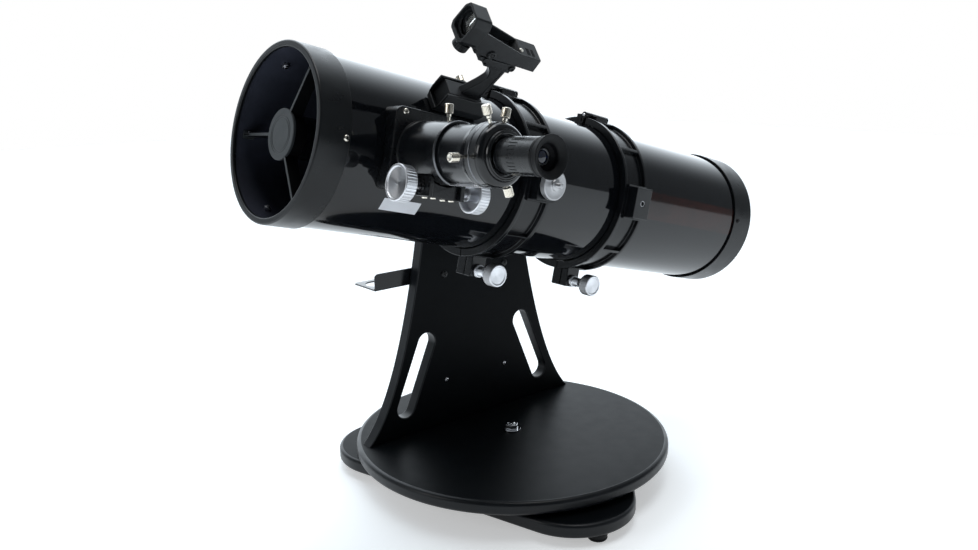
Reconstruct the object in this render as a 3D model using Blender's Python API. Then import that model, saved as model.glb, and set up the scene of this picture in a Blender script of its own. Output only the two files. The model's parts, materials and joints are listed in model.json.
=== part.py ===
"""Newtonian reflector telescope on a tabletop rocker base, as separate pieces.

Metres, +Z up. The tube points towards -Y and is tipped up by TUBE_TILT; the focuser is on
the +X side and the single side board on the -X side. Three nested frames are used:

  base    the turning axis of the base at x = y = 0, the floor at z = 0
  cradle  on the altitude axis, its -Y along the tube towards the sky, its Z square to it
  tube    the cradle turned by TUBE_ROLL about the tube's axis: what rolls inside the rings

A radial frame sits on the tube's axis with its Z pointing straight out of the tube.
"""

import math

import bmesh
import bpy

# --- driving dimensions -----------------------------------------------------------------
ORIGIN_X, ORIGIN_Y = 0.0655, -0.0212      # middle of the whole object, from the turning axis
GAP = 0.0003                              # air left between two pieces that touch

BOARD = 0.018                             # thickness of every base board
FOOT_HEIGHT, FOOT_RADIUS = 0.011, 0.013
FOOT_CIRCLE = 0.232                       # feet, from the turning axis
LOBE_ANGLES = (-15, 105, -135)
LOBE_RADIUS, LOBE_CIRCLE = 0.082, 0.167   # rounded corners of the ground board
GLIDE_HEIGHT = 0.0045                     # between the ground board and the turntable
DISC_RADIUS, DISC_ROUND = 0.2194, 0.006
PIVOT_RADIUS = 0.005
DISC_TOP = FOOT_HEIGHT + BOARD + GLIDE_HEIGHT + BOARD

SIDE_FACE = -0.0789                       # inner face of the side board
SIDE_FLANK = ((0.188, 0.0), (0.1295, 0.1125), (0.0835, 0.320))
SIDE_CORNER, SIDE_TOP = 0.045, 0.392      # corner radius, and height over the disc
SLOT_TOP, SLOT_FOOT = (0.088, 0.129), (0.126, 0.0416)
SLOT_RADIUS = 0.0145
GUSSET_Y, GUSSET_DEPTH, GUSSET_HEIGHT = 0.0546, 0.062, 0.115
RACK_ENDS = (-0.1575, 0.0825)
RACK_FOOT, RACK_TOP = 0.2115, 0.235       # over the disc
RACK_DEPTH, RACK_SHEET = 0.055, 0.002
RACK_HOLES = (-0.135, -0.0375, 0.060)
RACK_HOLE_RADIUS, RACK_HOLE_X = 0.0162, -0.1275

TUBE_X, ALTITUDE_HEIGHT = 0.06435, 0.4044
TUBE_TILT, TUBE_ROLL = 13.79, 3.0         # degrees
TUBE_RADIUS, TUBE_WALL = 0.090, 0.0015
TUBE_FRONT, TUBE_REAR = 0.3800, -0.3250   # along the tube, from the altitude axis
CAP_RADIUS, CAP_FRONT, CAP_REAR = 0.0926, 0.3843, -0.3330
FRONT_CAP_WIDTH, REAR_CAP_WIDTH = 0.0348, 0.0413

RING_PLACES = (0.1024, -0.0627)           # middles of the two rings along the tube
RING_WIDTH, RING_INNER, RING_WEB, RING_OUTER = 0.0428, 0.0906, 0.0945, 0.0996
RING_RAIL = 0.005
RING_SPLIT_X = 0.007
BOSS_FACE, BOSS_HEIGHT, BOSS_WIDTH = 0.1125, 0.0383, 0.0287
HINGE_HEIGHT, KNUCKLE_RADIUS, KNUCKLE_HALF = 0.102, 0.0045, 0.0102
HINGE_PIN_RADIUS = 0.002
LUG_FOOT, LUG_HALF, CLAMP_SCREW_HEIGHT = -0.1215, 0.011, -0.1136
BAR_NEAR, BAR_FAR = 0.1128, 0.1278        # dovetail bar, distance from the tube's axis
CLAMP_BACK = 0.1385
SIDE_NEAR = TUBE_X - SIDE_FACE            # side board's faces, distance from the tube's axis
SIDE_FAR = SIDE_NEAR + BOARD
SPINDLE_RADIUS = 0.006

MIRROR_RADIUS, MIRROR_BACK, MIRROR_THICK = 0.075, -0.3005, 0.016
FOCAL_LENGTH = 0.750
FOCUSER_PLACE = 0.2727                    # focuser's axis along the tube
DIAGONAL_RADIUS = 0.0235
COLLIMATION_CIRCLE = 0.066

SADDLE_FACE, SADDLE_HALF_X, SADDLE_HALF_Y = 0.104, 0.041, 0.037
HOUSING_RADIUS, HOUSING_BORE, HOUSING_END = 0.0313, 0.0284, 0.1625
DRAWTUBE_RADIUS, DRAWTUBE_BORE = 0.0280, 0.0257
DRAWTUBE_INNER, DRAWTUBE_OUTER = 0.108, 0.2108
PINION_HEIGHT, PINION_OFFSET, PINION_RADIUS = 0.138, 0.0351, 0.0050
KNOB_RADIUS, KNOB_INNER, KNOB_OUTER = 0.0178, 0.0384, 0.0514
COLLAR = (0.1975, 0.2110)
ADAPTER_START, ADAPTER_END = 0.2113, 0.2292
BARREL_RADIUS = 0.0158

FINDER_ANGLE = 38.0                       # round the tube, from the focuser towards the top
SHOE_ENDS = (0.190, 0.250)
FINDER_ENDS = (0.1785, 0.2595)


# --- tools ------------------------------------------------------------------------------
def material(name, colour, roughness, metallic=0.0):
    made = bpy.data.materials.new(name)
    made.use_nodes = True
    shader = made.node_tree.nodes["Principled BSDF"]
    shader.inputs["Base Color"].default_value = (*colour, 1.0)
    shader.inputs["Roughness"].default_value = roughness
    shader.inputs["Metallic"].default_value = metallic
    return made


def frame(name, parent=None, location=(0, 0, 0), turn=(0, 0, 0)):
    """An empty that pieces are placed in; turn is in degrees."""
    made = bpy.data.objects.new(name, None)
    bpy.context.collection.objects.link(made)
    made.parent = parent
    made.location = location
    made.rotation_euler = [math.radians(angle) for angle in turn]
    return made


def radial_frame(name, parent, along, angle):
    """On the tube's axis, Z pointing out of the tube at an angle from +X towards +Z."""
    return frame(name, parent, (0, -along, 0), (0, 90 - angle, 0))


def piece(name, bm, look, parent, location=(0, 0, 0), turn=(0, 0, 0)):
    bmesh.ops.recalc_face_normals(bm, faces=bm.faces)
    mesh = bpy.data.meshes.new(name)
    bm.to_mesh(mesh)
    bm.free()
    mesh.shade_smooth()
    mesh.set_sharp_from_angle(angle=math.radians(32))
    mesh.materials.append(look)
    made = bpy.data.objects.new(name, mesh)
    bpy.context.collection.objects.link(made)
    made.parent = parent
    made.location = location
    made.rotation_euler = [math.radians(angle) for angle in turn]
    return made


def turned(name, profile, look, parent, location=(0, 0, 0), turn=(0, 0, 0), sides=24, phase=0.0):
    """A lathe piece round Z. A profile that starts and ends on the axis is solid."""
    bm = bmesh.new()
    rings = []
    for radius, height in profile:
        if radius == 0:
            rings.append([bm.verts.new((0, 0, height))] * sides)
            continue
        angles = [2 * math.pi * (step + phase) / sides for step in range(sides)]
        rings.append([bm.verts.new((radius * math.cos(a), radius * math.sin(a), height)) for a in angles])
    if profile[0][0] > 0:
        rings.append(rings[0])
    for one, two in zip(rings, rings[1:]):
        for step in range(sides):
            after = (step + 1) % sides
            corners = [one[step], one[after], two[after], two[step]]
            bm.faces.new(list(dict.fromkeys(corners)))
    return piece(name, bm, look, parent, location, turn)


def prism(name, outline, low, high, look, parent, plane="XY", location=(0, 0, 0), turn=(0, 0, 0)):
    """An outline extruded from low to high along the axis that the plane leaves out."""
    order = {"XY": (0, 1, 2), "YZ": (2, 0, 1), "XZ": (0, 2, 1)}[plane]
    bm = bmesh.new()
    ends = []
    for height in (low, high):
        points = [(u, v, height) for u, v in outline]
        ends.append([bm.verts.new([point[axis] for axis in order]) for point in points])
    bm.faces.new(ends[0])
    bm.faces.new(ends[1])
    for step in range(len(outline)):
        after = (step + 1) % len(outline)
        bm.faces.new([ends[0][step], ends[0][after], ends[1][after], ends[1][step]])
    return piece(name, bm, look, parent, location, turn)


def block(name, low, high, look, parent, location=(0, 0, 0), turn=(0, 0, 0)):
    outline = [(low[0], low[1]), (high[0], low[1]), (high[0], high[1]), (low[0], high[1])]
    return prism(name, outline, low[2], high[2], look, parent, "XY", location, turn)


def rod(name, radius, low, high, look, parent, location=(0, 0, 0), turn=(0, 0, 0), sides=24):
    profile = [(0, low), (radius, low), (radius, high), (0, high)]
    return turned(name, profile, look, parent, location, turn, sides)


def arc(centre, radius, start, end, steps):
    angles = [math.radians(start + (end - start) * step / steps) for step in range(steps + 1)]
    return [(centre[0] + radius * math.cos(a), centre[1] + radius * math.sin(a)) for a in angles]


def curve_through(first, middle, last, steps):
    """Points on the parabola-like curve that passes the middle point half way."""
    pull = [2 * m - (f + e) / 2 for f, m, e in zip(first, middle, last)]
    points = []
    for step in range(steps + 1):
        t = step / steps
        points.append(tuple((1 - t) ** 2 * f + 2 * t * (1 - t) * p + t * t * e
                            for f, p, e in zip(first, pull, last)))
    return points


def boolean(target, tool, operation="DIFFERENCE"):
    """Cut a tool from a piece, or join it on. The tool stays as a hidden guide."""
    tool.hide_render = True
    tool.display_type = "WIRE"
    change = target.modifiers.new(tool.name, "BOOLEAN")
    change.operation = operation
    change.solver = "EXACT"
    change.object = tool


def drill(target, radius, low, high, parent, location=(0, 0, 0), turn=(0, 0, 0), sides=24):
    """A hole along Z, its facets turned off the target's own edges."""
    name = f"{target.name}_hole_{len(target.modifiers)}"
    profile = [(0, low), (radius, low), (radius, high), (0, high)]
    boolean(target, turned(name, profile, GUIDE, parent, location, turn, sides, 0.37))


def weld(target, tool):
    boolean(target, tool, "UNION")


for leftover in list(bpy.data.objects):
    bpy.data.objects.remove(leftover)

GUIDE = material("guide", (0.8, 0.2, 0.2), 0.5)
LAMINATE = material("black_laminate", (0.018, 0.018, 0.020), 0.55)
PAINT = material("gloss_black_paint", (0.012, 0.012, 0.014), 0.16)
CAST = material("black_cast_metal", (0.016, 0.016, 0.018), 0.38)
ANODISED = material("black_anodised", (0.014, 0.015, 0.018), 0.28, 0.4)
ALUMINIUM = material("bright_aluminium", (0.78, 0.78, 0.80), 0.26, 1.0)
CHROME = material("chrome", (0.72, 0.72, 0.73), 0.14, 1.0)
PLASTIC = material("black_plastic", (0.017, 0.017, 0.019), 0.48)
RUBBER = material("black_rubber", (0.014, 0.014, 0.015), 0.75)
NYLON = material("white_nylon", (0.78, 0.77, 0.72), 0.45)
MIRROR = material("mirror", (0.90, 0.91, 0.93), 0.03, 1.0)
GLASS = material("glass", (0.75, 0.85, 0.95), 0.05)
STEEL = material("steel", (0.56, 0.56, 0.58), 0.30, 1.0)

ROOT = frame("row_origin", None, (-ORIGIN_X, -ORIGIN_Y, 0))
CRADLE = frame("cradle_frame", ROOT, (TUBE_X, 0, ALTITUDE_HEIGHT), (-TUBE_TILT, 0, 0))
TUBE_FRAME = frame("tube_frame", CRADLE, (0, 0, 0), (0, -TUBE_ROLL, 0))
ALONG = (90, 0, 0)                        # turns a lathe piece's Z to point up the tube


# --- ground board -----------------------------------------------------------------------
def make_ground():
    outline = []
    for angle in sorted(LOBE_ANGLES):
        centre = (LOBE_CIRCLE * math.cos(math.radians(angle)), LOBE_CIRCLE * math.sin(math.radians(angle)))
        outline += arc(centre, LOBE_RADIUS, angle - 60, angle + 60, 10)
    top = FOOT_HEIGHT + BOARD
    board = prism("ground_board", outline, FOOT_HEIGHT, top, LAMINATE, ROOT)
    drill(board, PIVOT_RADIUS + 0.0006, 0, 0.1, ROOT, sides=16)

    for number, angle in enumerate(LOBE_ANGLES, 1):
        place = (FOOT_CIRCLE * math.cos(math.radians(angle)), FOOT_CIRCLE * math.sin(math.radians(angle)), 0)
        high = FOOT_HEIGHT - GAP
        profile = [(0, 0), (FOOT_RADIUS - 0.002, 0), (FOOT_RADIUS - 0.001, 0.001), (FOOT_RADIUS, high), (0, high)]
        turned(f"foot_{number}", profile, RUBBER, ROOT, place, sides=20)

    low, high = top + GAP, top + GLIDE_HEIGHT - GAP
    turned("glide_ring", [(0.115, low), (0.140, low), (0.140, high), (0.115, high)], NYLON, ROOT, sides=40)

    head, shank_top = FOOT_HEIGHT - GAP, DISC_TOP + 0.0105
    profile = [(0, 0.0055), (0.008, 0.0055), (0.0105, head), (PIVOT_RADIUS, head),
               (PIVOT_RADIUS, shank_top - 0.0008), (PIVOT_RADIUS - 0.0008, shank_top), (0, shank_top)]
    turned("pivot_bolt", profile, CHROME, ROOT, sides=16)
    seat, bore = DISC_TOP + GAP, (PIVOT_RADIUS + 0.0005) / math.cos(math.pi / 12)
    profile = [(bore, seat), (0.0125, seat), (0.0125, seat + 0.0014), (0.0095, seat + 0.0016),
               (0.0095, seat + 0.0075), (0.0085, seat + 0.0085), (bore, seat + 0.0085)]
    turned("pivot_nut", profile, CHROME, ROOT, sides=12)


# --- turntable --------------------------------------------------------------------------
def make_turntable():
    low, round_off = DISC_TOP - BOARD, DISC_ROUND
    rim = [(math.sin(a), math.cos(a)) for a in (math.radians(30 * step) for step in range(4))]
    edge = [(DISC_RADIUS - round_off * (1 - x), low + round_off * (1 - z)) for x, z in rim]
    edge += [(DISC_RADIUS - round_off * (1 - x), DISC_TOP - round_off * (1 - z)) for x, z in reversed(rim)]
    bore = PIVOT_RADIUS + 0.0008
    turned("turntable_disc", [(bore, low)] + edge + [(bore, DISC_TOP)], LAMINATE, ROOT, sides=64)

    flank = curve_through(*SIDE_FLANK, 10)
    corner = arc((SIDE_FLANK[2][0] - SIDE_CORNER, SIDE_TOP - SIDE_CORNER), SIDE_CORNER, 0, 90, 5)
    right = [(y, DISC_TOP + max(z, GAP)) for y, z in flank + corner]
    outline = right + [(-y, z) for y, z in reversed(right)]
    board = prism("side_board", outline, SIDE_FACE - BOARD, SIDE_FACE, LAMINATE, ROOT, "YZ")
    lean = math.degrees(math.atan2(SLOT_FOOT[1] - SLOT_TOP[1], SLOT_FOOT[0] - SLOT_TOP[0]))
    for side in (1, -1):
        slot = arc(SLOT_TOP, SLOT_RADIUS, lean + 90, lean + 270, 8)
        slot += arc(SLOT_FOOT, SLOT_RADIUS, lean - 90, lean + 90, 8)
        slot = [(side * y, DISC_TOP + z) for y, z in slot]
        boolean(board, prism(f"slot_{side}", slot, SIDE_FACE - 0.03, SIDE_FACE + 0.01, GUIDE, ROOT, "YZ"))
    drill(board, SPINDLE_RADIUS + 0.0008, -0.05, 0.05, ROOT, (SIDE_FACE, 0, ALTITUDE_HEIGHT), (0, 90, 0))

    back = SIDE_FACE - BOARD - GAP
    for number, y in enumerate((-GUSSET_Y, GUSSET_Y), 1):
        foot = DISC_TOP + GAP
        outline = [(back, foot), (back, foot + GUSSET_HEIGHT), (back - 0.012, foot + GUSSET_HEIGHT)]
        outline += [(back - GUSSET_DEPTH, foot + 0.022), (back - GUSSET_DEPTH, foot)]
        prism(f"gusset_{number}", outline, y - BOARD / 2, y + BOARD / 2, LAMINATE, ROOT, "XZ")

    foot, top = DISC_TOP + RACK_FOOT, DISC_TOP + RACK_TOP
    outline = [(back, foot), (back, top), (back - RACK_SHEET, top), (back - RACK_SHEET, foot + RACK_SHEET)]
    outline += [(back - RACK_DEPTH, foot + RACK_SHEET), (back - RACK_DEPTH, foot)]
    rack = prism("eyepiece_rack", outline, *RACK_ENDS, CAST, ROOT, "XZ")
    for y in RACK_HOLES:
        drill(rack, RACK_HOLE_RADIUS, foot - 0.01, foot + 0.01, ROOT, (RACK_HOLE_X, y, 0))


# --- altitude bearing and dovetail --------------------------------------------------------
def make_altitude():
    hub = radial_frame("hub_frame", CRADLE, 0, 180)
    flange, ring, shank = CLAMP_BACK + GAP, 0.1411, SIDE_FAR + 0.0275
    profile = [(0, flange), (0.030, flange), (0.030, ring - GAP), (SPINDLE_RADIUS, ring - GAP),
               (SPINDLE_RADIUS, shank - 0.001), (SPINDLE_RADIUS - 0.001, shank), (0, shank)]
    turned("altitude_spindle", profile, STEEL, hub, sides=28)
    high = SIDE_NEAR - GAP
    bore = SPINDLE_RADIUS + 0.0006
    turned("altitude_washer", [(bore, ring), (0.028, ring), (0.028, high), (bore, high)], NYLON, hub, sides=28)
    low, high = SIDE_FAR + GAP, SIDE_FAR + 0.024
    profile = [(bore, low), (0.0150, low), (0.0150, low + 0.005), (0.0240, low + 0.008), (0.0240, high - 0.004),
               (0.0200, high), (bore, high)]
    turned("tension_knob", profile, PLASTIC, hub, sides=24)

    narrow, wide = 0.018, 0.022
    bar = [(-narrow, BAR_NEAR), (narrow, BAR_NEAR), (wide, BAR_FAR), (-wide, BAR_FAR)]
    prism("dovetail_bar", bar, -0.135, 0.095, CAST, hub, "XZ")
    jaw, lip, seat = 0.033, 0.117, BAR_FAR + GAP
    lip_in, seat_in = 0.0198, 0.0227
    clamp = [(-jaw, CLAMP_BACK), (jaw, CLAMP_BACK), (jaw, lip), (lip_in, lip), (seat_in, seat), (-seat_in, seat)]
    clamp += [(-lip_in, lip), (-jaw, lip)]
    prism("dovetail_clamp", clamp, -0.040, 0.040, CAST, hub, "XZ")
    start = jaw + GAP
    profile = [(0, start), (0.0035, start), (0.0035, 0.0385), (0.0110, 0.0400), (0.0110, 0.0510), (0.0095, 0.0530),
               (0, 0.0530)]
    turned("clamp_knob", profile, ALUMINIUM, hub, (0, 0, 0.128), (0, -90, 0), sides=20)


# --- tube rings -------------------------------------------------------------------------
def ring_sector(name, start, end, parent, steps=20):
    """Half a ring: a channel section with two raised rails, swept round the tube."""
    half, rail = RING_WIDTH / 2, RING_WIDTH / 2 - RING_RAIL
    section = [(RING_INNER, -half), (RING_OUTER, -half), (RING_OUTER, -rail), (RING_WEB, -rail), (RING_WEB, rail),
               (RING_OUTER, rail), (RING_OUTER, half), (RING_INNER, half)]
    bm = bmesh.new()
    rows = []
    for step in range(steps + 1):
        a = math.radians(start + (end - start) * step / steps)
        rows.append([bm.verts.new((r * math.cos(a), y, r * math.sin(a))) for r, y in section])
    for one, two in zip(rows, rows[1:]):
        for index in range(len(section)):
            after = (index + 1) % len(section)
            bm.faces.new([one[index], one[after], two[after], two[index]])
    bm.faces.new(rows[0])
    bm.faces.new(rows[-1])
    return piece(name, bm, CAST, parent)


def make_ring(number, place):
    here = frame(f"ring_frame_{number}", CRADLE, (0, -place, 0))
    far = ring_sector(f"ring_far_{number}", 86.2, 273.8, here)
    near = ring_sector(f"ring_near_{number}", -85.3, 83.0, here)

    half = BOSS_WIDTH / 2
    boss_low, boss_high = (0.0925, -half, -BOSS_HEIGHT / 2), (BOSS_FACE, half, BOSS_HEIGHT / 2)
    weld(near, block(f"near_boss_{number}", boss_low, boss_high, GUIDE, here))
    weld(far, block(f"far_boss_{number}", boss_low, boss_high, GUIDE, here, (0, 0, 0), (0, 180, 0)))
    drill(near, 0.0037, 0.1005, 0.12, here, (0, 0, 0), (0, 90, 0), sides=16)

    lugs = ((near, 0.0074, 0.0185), (far, -0.0080, 0.0064))
    for half_ring, low, high in lugs:
        name = f"{half_ring.name}_lug"
        weld(half_ring, block(name, (low, -LUG_HALF, LUG_FOOT), (high, LUG_HALF, -0.0925), GUIDE, here))
        drill(half_ring, 0.0037, -0.02, 0.03, here, (0, 0, CLAMP_SCREW_HEIGHT), (0, 90, 0), sides=16)

    hinge = (RING_SPLIT_X, 0, HINGE_HEIGHT)
    outer = RING_WIDTH / 2
    knuckles = ((near, -KNUCKLE_HALF, KNUCKLE_HALF, 0.0, 0.0125),
                (far, -outer, -KNUCKLE_HALF - GAP, -0.0125, 0.0),
                (far, KNUCKLE_HALF + GAP, outer, -0.0125, 0.0))
    for index, (half_ring, low, high, left, right) in enumerate(knuckles):
        name = f"{half_ring.name}_knuckle_{index}"
        weld(half_ring, rod(name, KNUCKLE_RADIUS, -high, -low, GUIDE, here, hinge, ALONG, 16))
        arm = (RING_SPLIT_X + left, low, 0.0925), (RING_SPLIT_X + right, high, HINGE_HEIGHT + 0.0015)
        weld(half_ring, block(f"{name}_arm", *arm, GUIDE, here))
    for half_ring in (near, far):
        drill(half_ring, HINGE_PIN_RADIUS + GAP, -0.03, 0.03, here, hinge, ALONG, 12)
    rod(f"hinge_pin_{number}", HINGE_PIN_RADIUS, -0.0226, 0.0226, STEEL, here, hinge, ALONG, 12)

    profile = [(0, -0.0060), (0.0030, -0.0060), (0.0030, 0.0188), (0.0075, 0.0188), (0.0075, 0.0222),
               (0.0042, 0.0226), (0.0042, 0.0350), (0.0080, 0.0370), (0.0080, 0.0420), (0.0130, 0.0435),
               (0.0135, 0.0445), (0.0135, 0.0560), (0.0125, 0.0570), (0, 0.0570)]
    turned(f"ring_knob_{number}", profile, ALUMINIUM, here, (0, 0, CLAMP_SCREW_HEIGHT), (0, 90, 0), 20)
    return here


def make_piggyback(here):
    profile = [(0, 0.1012), (0.0032, 0.1012), (0.0032, 0.1129), (0.0085, 0.1129), (0.0085, 0.1155),
               (0.0160, 0.1155), (0.0170, 0.1163), (0.0170, 0.1227), (0.0160, 0.1235), (0.0060, 0.1235),
               (0.0060, 0.1255), (0.0032, 0.1260), (0.0032, 0.1335), (0, 0.1335)]
    turned("piggyback_knob", profile, ALUMINIUM, here, (0, 0, 0), (0, 90, 0), 28)


# --- tube and optics --------------------------------------------------------------------
def make_tube():
    inner = TUBE_RADIUS - TUBE_WALL
    wall = [(inner, TUBE_REAR), (TUBE_RADIUS, TUBE_REAR), (TUBE_RADIUS, TUBE_FRONT), (inner, TUBE_FRONT)]
    tube = turned("tube", wall, PAINT, TUBE_FRAME, turn=ALONG, sides=64)
    drill(tube, 0.0312, 0.05, 0.13, TUBE_FRAME, (0, -FOCUSER_PLACE, 0), (0, 90, 0), 32)

    sleeve = TUBE_RADIUS + GAP
    back, face = CAP_FRONT - FRONT_CAP_WIDTH, CAP_FRONT
    profile = [(sleeve, back), (CAP_RADIUS, back), (CAP_RADIUS, face - 0.001), (CAP_RADIUS - 0.001, face),
               (0.0862, face), (0.0855, face - 0.0007), (0.0855, TUBE_FRONT + GAP), (sleeve, TUBE_FRONT + GAP)]
    turned("front_cap", profile, PLASTIC, TUBE_FRAME, turn=ALONG, sides=64)

    front, step = CAP_REAR + REAR_CAP_WIDTH, TUBE_REAR - GAP
    profile = [(sleeve, front), (sleeve, step), (0.045, step), (0.045, CAP_REAR), (CAP_RADIUS - 0.001, CAP_REAR),
               (CAP_RADIUS, CAP_REAR + 0.001), (CAP_RADIUS, front)]
    cap = turned("rear_cap", profile, PLASTIC, TUBE_FRAME, turn=ALONG, sides=64)
    cell = turned("mirror_cell", [(0, -0.3100), (0.080, -0.3100), (0.080, MIRROR_BACK - GAP), (0, MIRROR_BACK - GAP)],
                  CAST, TUBE_FRAME, turn=ALONG, sides=40)
    for number, angle in enumerate((0, 120, 240), 1):
        a = math.radians(angle)
        place = (COLLIMATION_CIRCLE * math.cos(a), 0, COLLIMATION_CIRCLE * math.sin(a))
        drill(cap, 0.0036, -0.36, -0.30, TUBE_FRAME, place, ALONG, 16)
        drill(cell, 0.0036, -0.32, -0.3045, TUBE_FRAME, place, ALONG, 16)
        start = CAP_REAR - GAP
        profile = [(0, -0.3050), (0.0030, -0.3050), (0.0030, start), (0.0070, start), (0.0070, start - 0.003),
                   (0.0100, start - 0.004), (0.0100, start - 0.013), (0.0090, start - 0.014), (0, start - 0.014)]
        turned(f"collimation_knob_{number}", profile, ALUMINIUM, TUBE_FRAME, place, ALONG, 20)


def make_optics():
    bowl = MIRROR_BACK + MIRROR_THICK
    radii = [MIRROR_RADIUS * step / 4 for step in range(4, -1, -1)]
    face = [(r, bowl + (r * r - MIRROR_RADIUS ** 2) / (4 * FOCAL_LENGTH)) for r in radii]
    turned("primary_mirror", [(0, MIRROR_BACK), (MIRROR_RADIUS, MIRROR_BACK)] + face, MIRROR, TUBE_FRAME,
           turn=ALONG, sides=40)

    hub_back, hub_face, hub_radius = 0.3586, 0.3746, 0.0264
    spider = rod("spider", hub_radius, hub_back, hub_face, CAST, TUBE_FRAME, turn=ALONG, sides=32)
    tip = TUBE_RADIUS - TUBE_WALL - 2 * GAP
    for angle in (60, 180, 300):
        low, high = (0.02, -hub_face + 0.001, -0.0015), (tip, -hub_back - 0.001, 0.0015)
        weld(spider, block(f"vane_{angle}", low, high, GUIDE, TUBE_FRAME, (0, 0, 0), (0, -angle, 0)))

    thick, holder_radius = 0.006, 0.0222
    seat = FOCUSER_PLACE + thick + 2 * GAP
    slanted("secondary_mirror", DIAGONAL_RADIUS, (FOCUSER_PLACE, 1), (FOCUSER_PLACE + thick, 1), MIRROR)
    slanted("secondary_holder", holder_radius, (seat, 1), (hub_back - GAP, 0), CAST)


def slanted(name, radius, low, high, look, sides=28):
    """A rod along the tube whose ends follow place + slope * x."""
    bm = bmesh.new()
    ends = []
    for place, slope in (low, high):
        angles = [2 * math.pi * step / sides for step in range(sides)]
        points = [(radius * math.cos(a), radius * math.sin(a)) for a in angles]
        ends.append([bm.verts.new((x, -(place + slope * x), z)) for x, z in points])
    bm.faces.new(ends[0])
    bm.faces.new(ends[1])
    for step in range(sides):
        after = (step + 1) % sides
        bm.faces.new([ends[0][step], ends[0][after], ends[1][after], ends[1][step]])
    return piece(name, bm, look, TUBE_FRAME)


# --- focuser ----------------------------------------------------------------------------
def thumbscrew(name, parent, seat, height, angle, depth=0.0022):
    """A knurled thumbscrew that stands on a round body's side at an angle, seat from its axis."""
    profile = [(0, seat - depth), (0.0016, seat - depth), (0.0016, seat + 0.0050), (0.0038, seat + 0.0055),
               (0.0043, seat + 0.0062), (0.0043, seat + 0.0143), (0.0038, seat + 0.0150), (0, seat + 0.0150)]
    return turned(name, profile, ALUMINIUM, parent, (0, 0, height), side_turn(angle), 16)


def side_turn(angle):
    """Turns a lathe piece's Z square to the focuser: 90 is the tube's up, 0 its front end."""
    return (0, -90, 0) if angle == 90 else (90, 0, angle_about_z(angle))


def angle_about_z(angle):
    """From the front (-Y) round to the upper side (-X)."""
    return -angle


def screw_hole(target, parent, seat, height, angle, depth=0.0040):
    drill(target, 0.0020, seat - depth, seat + 0.01, parent, (0, 0, height), side_turn(angle), 12)


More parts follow.
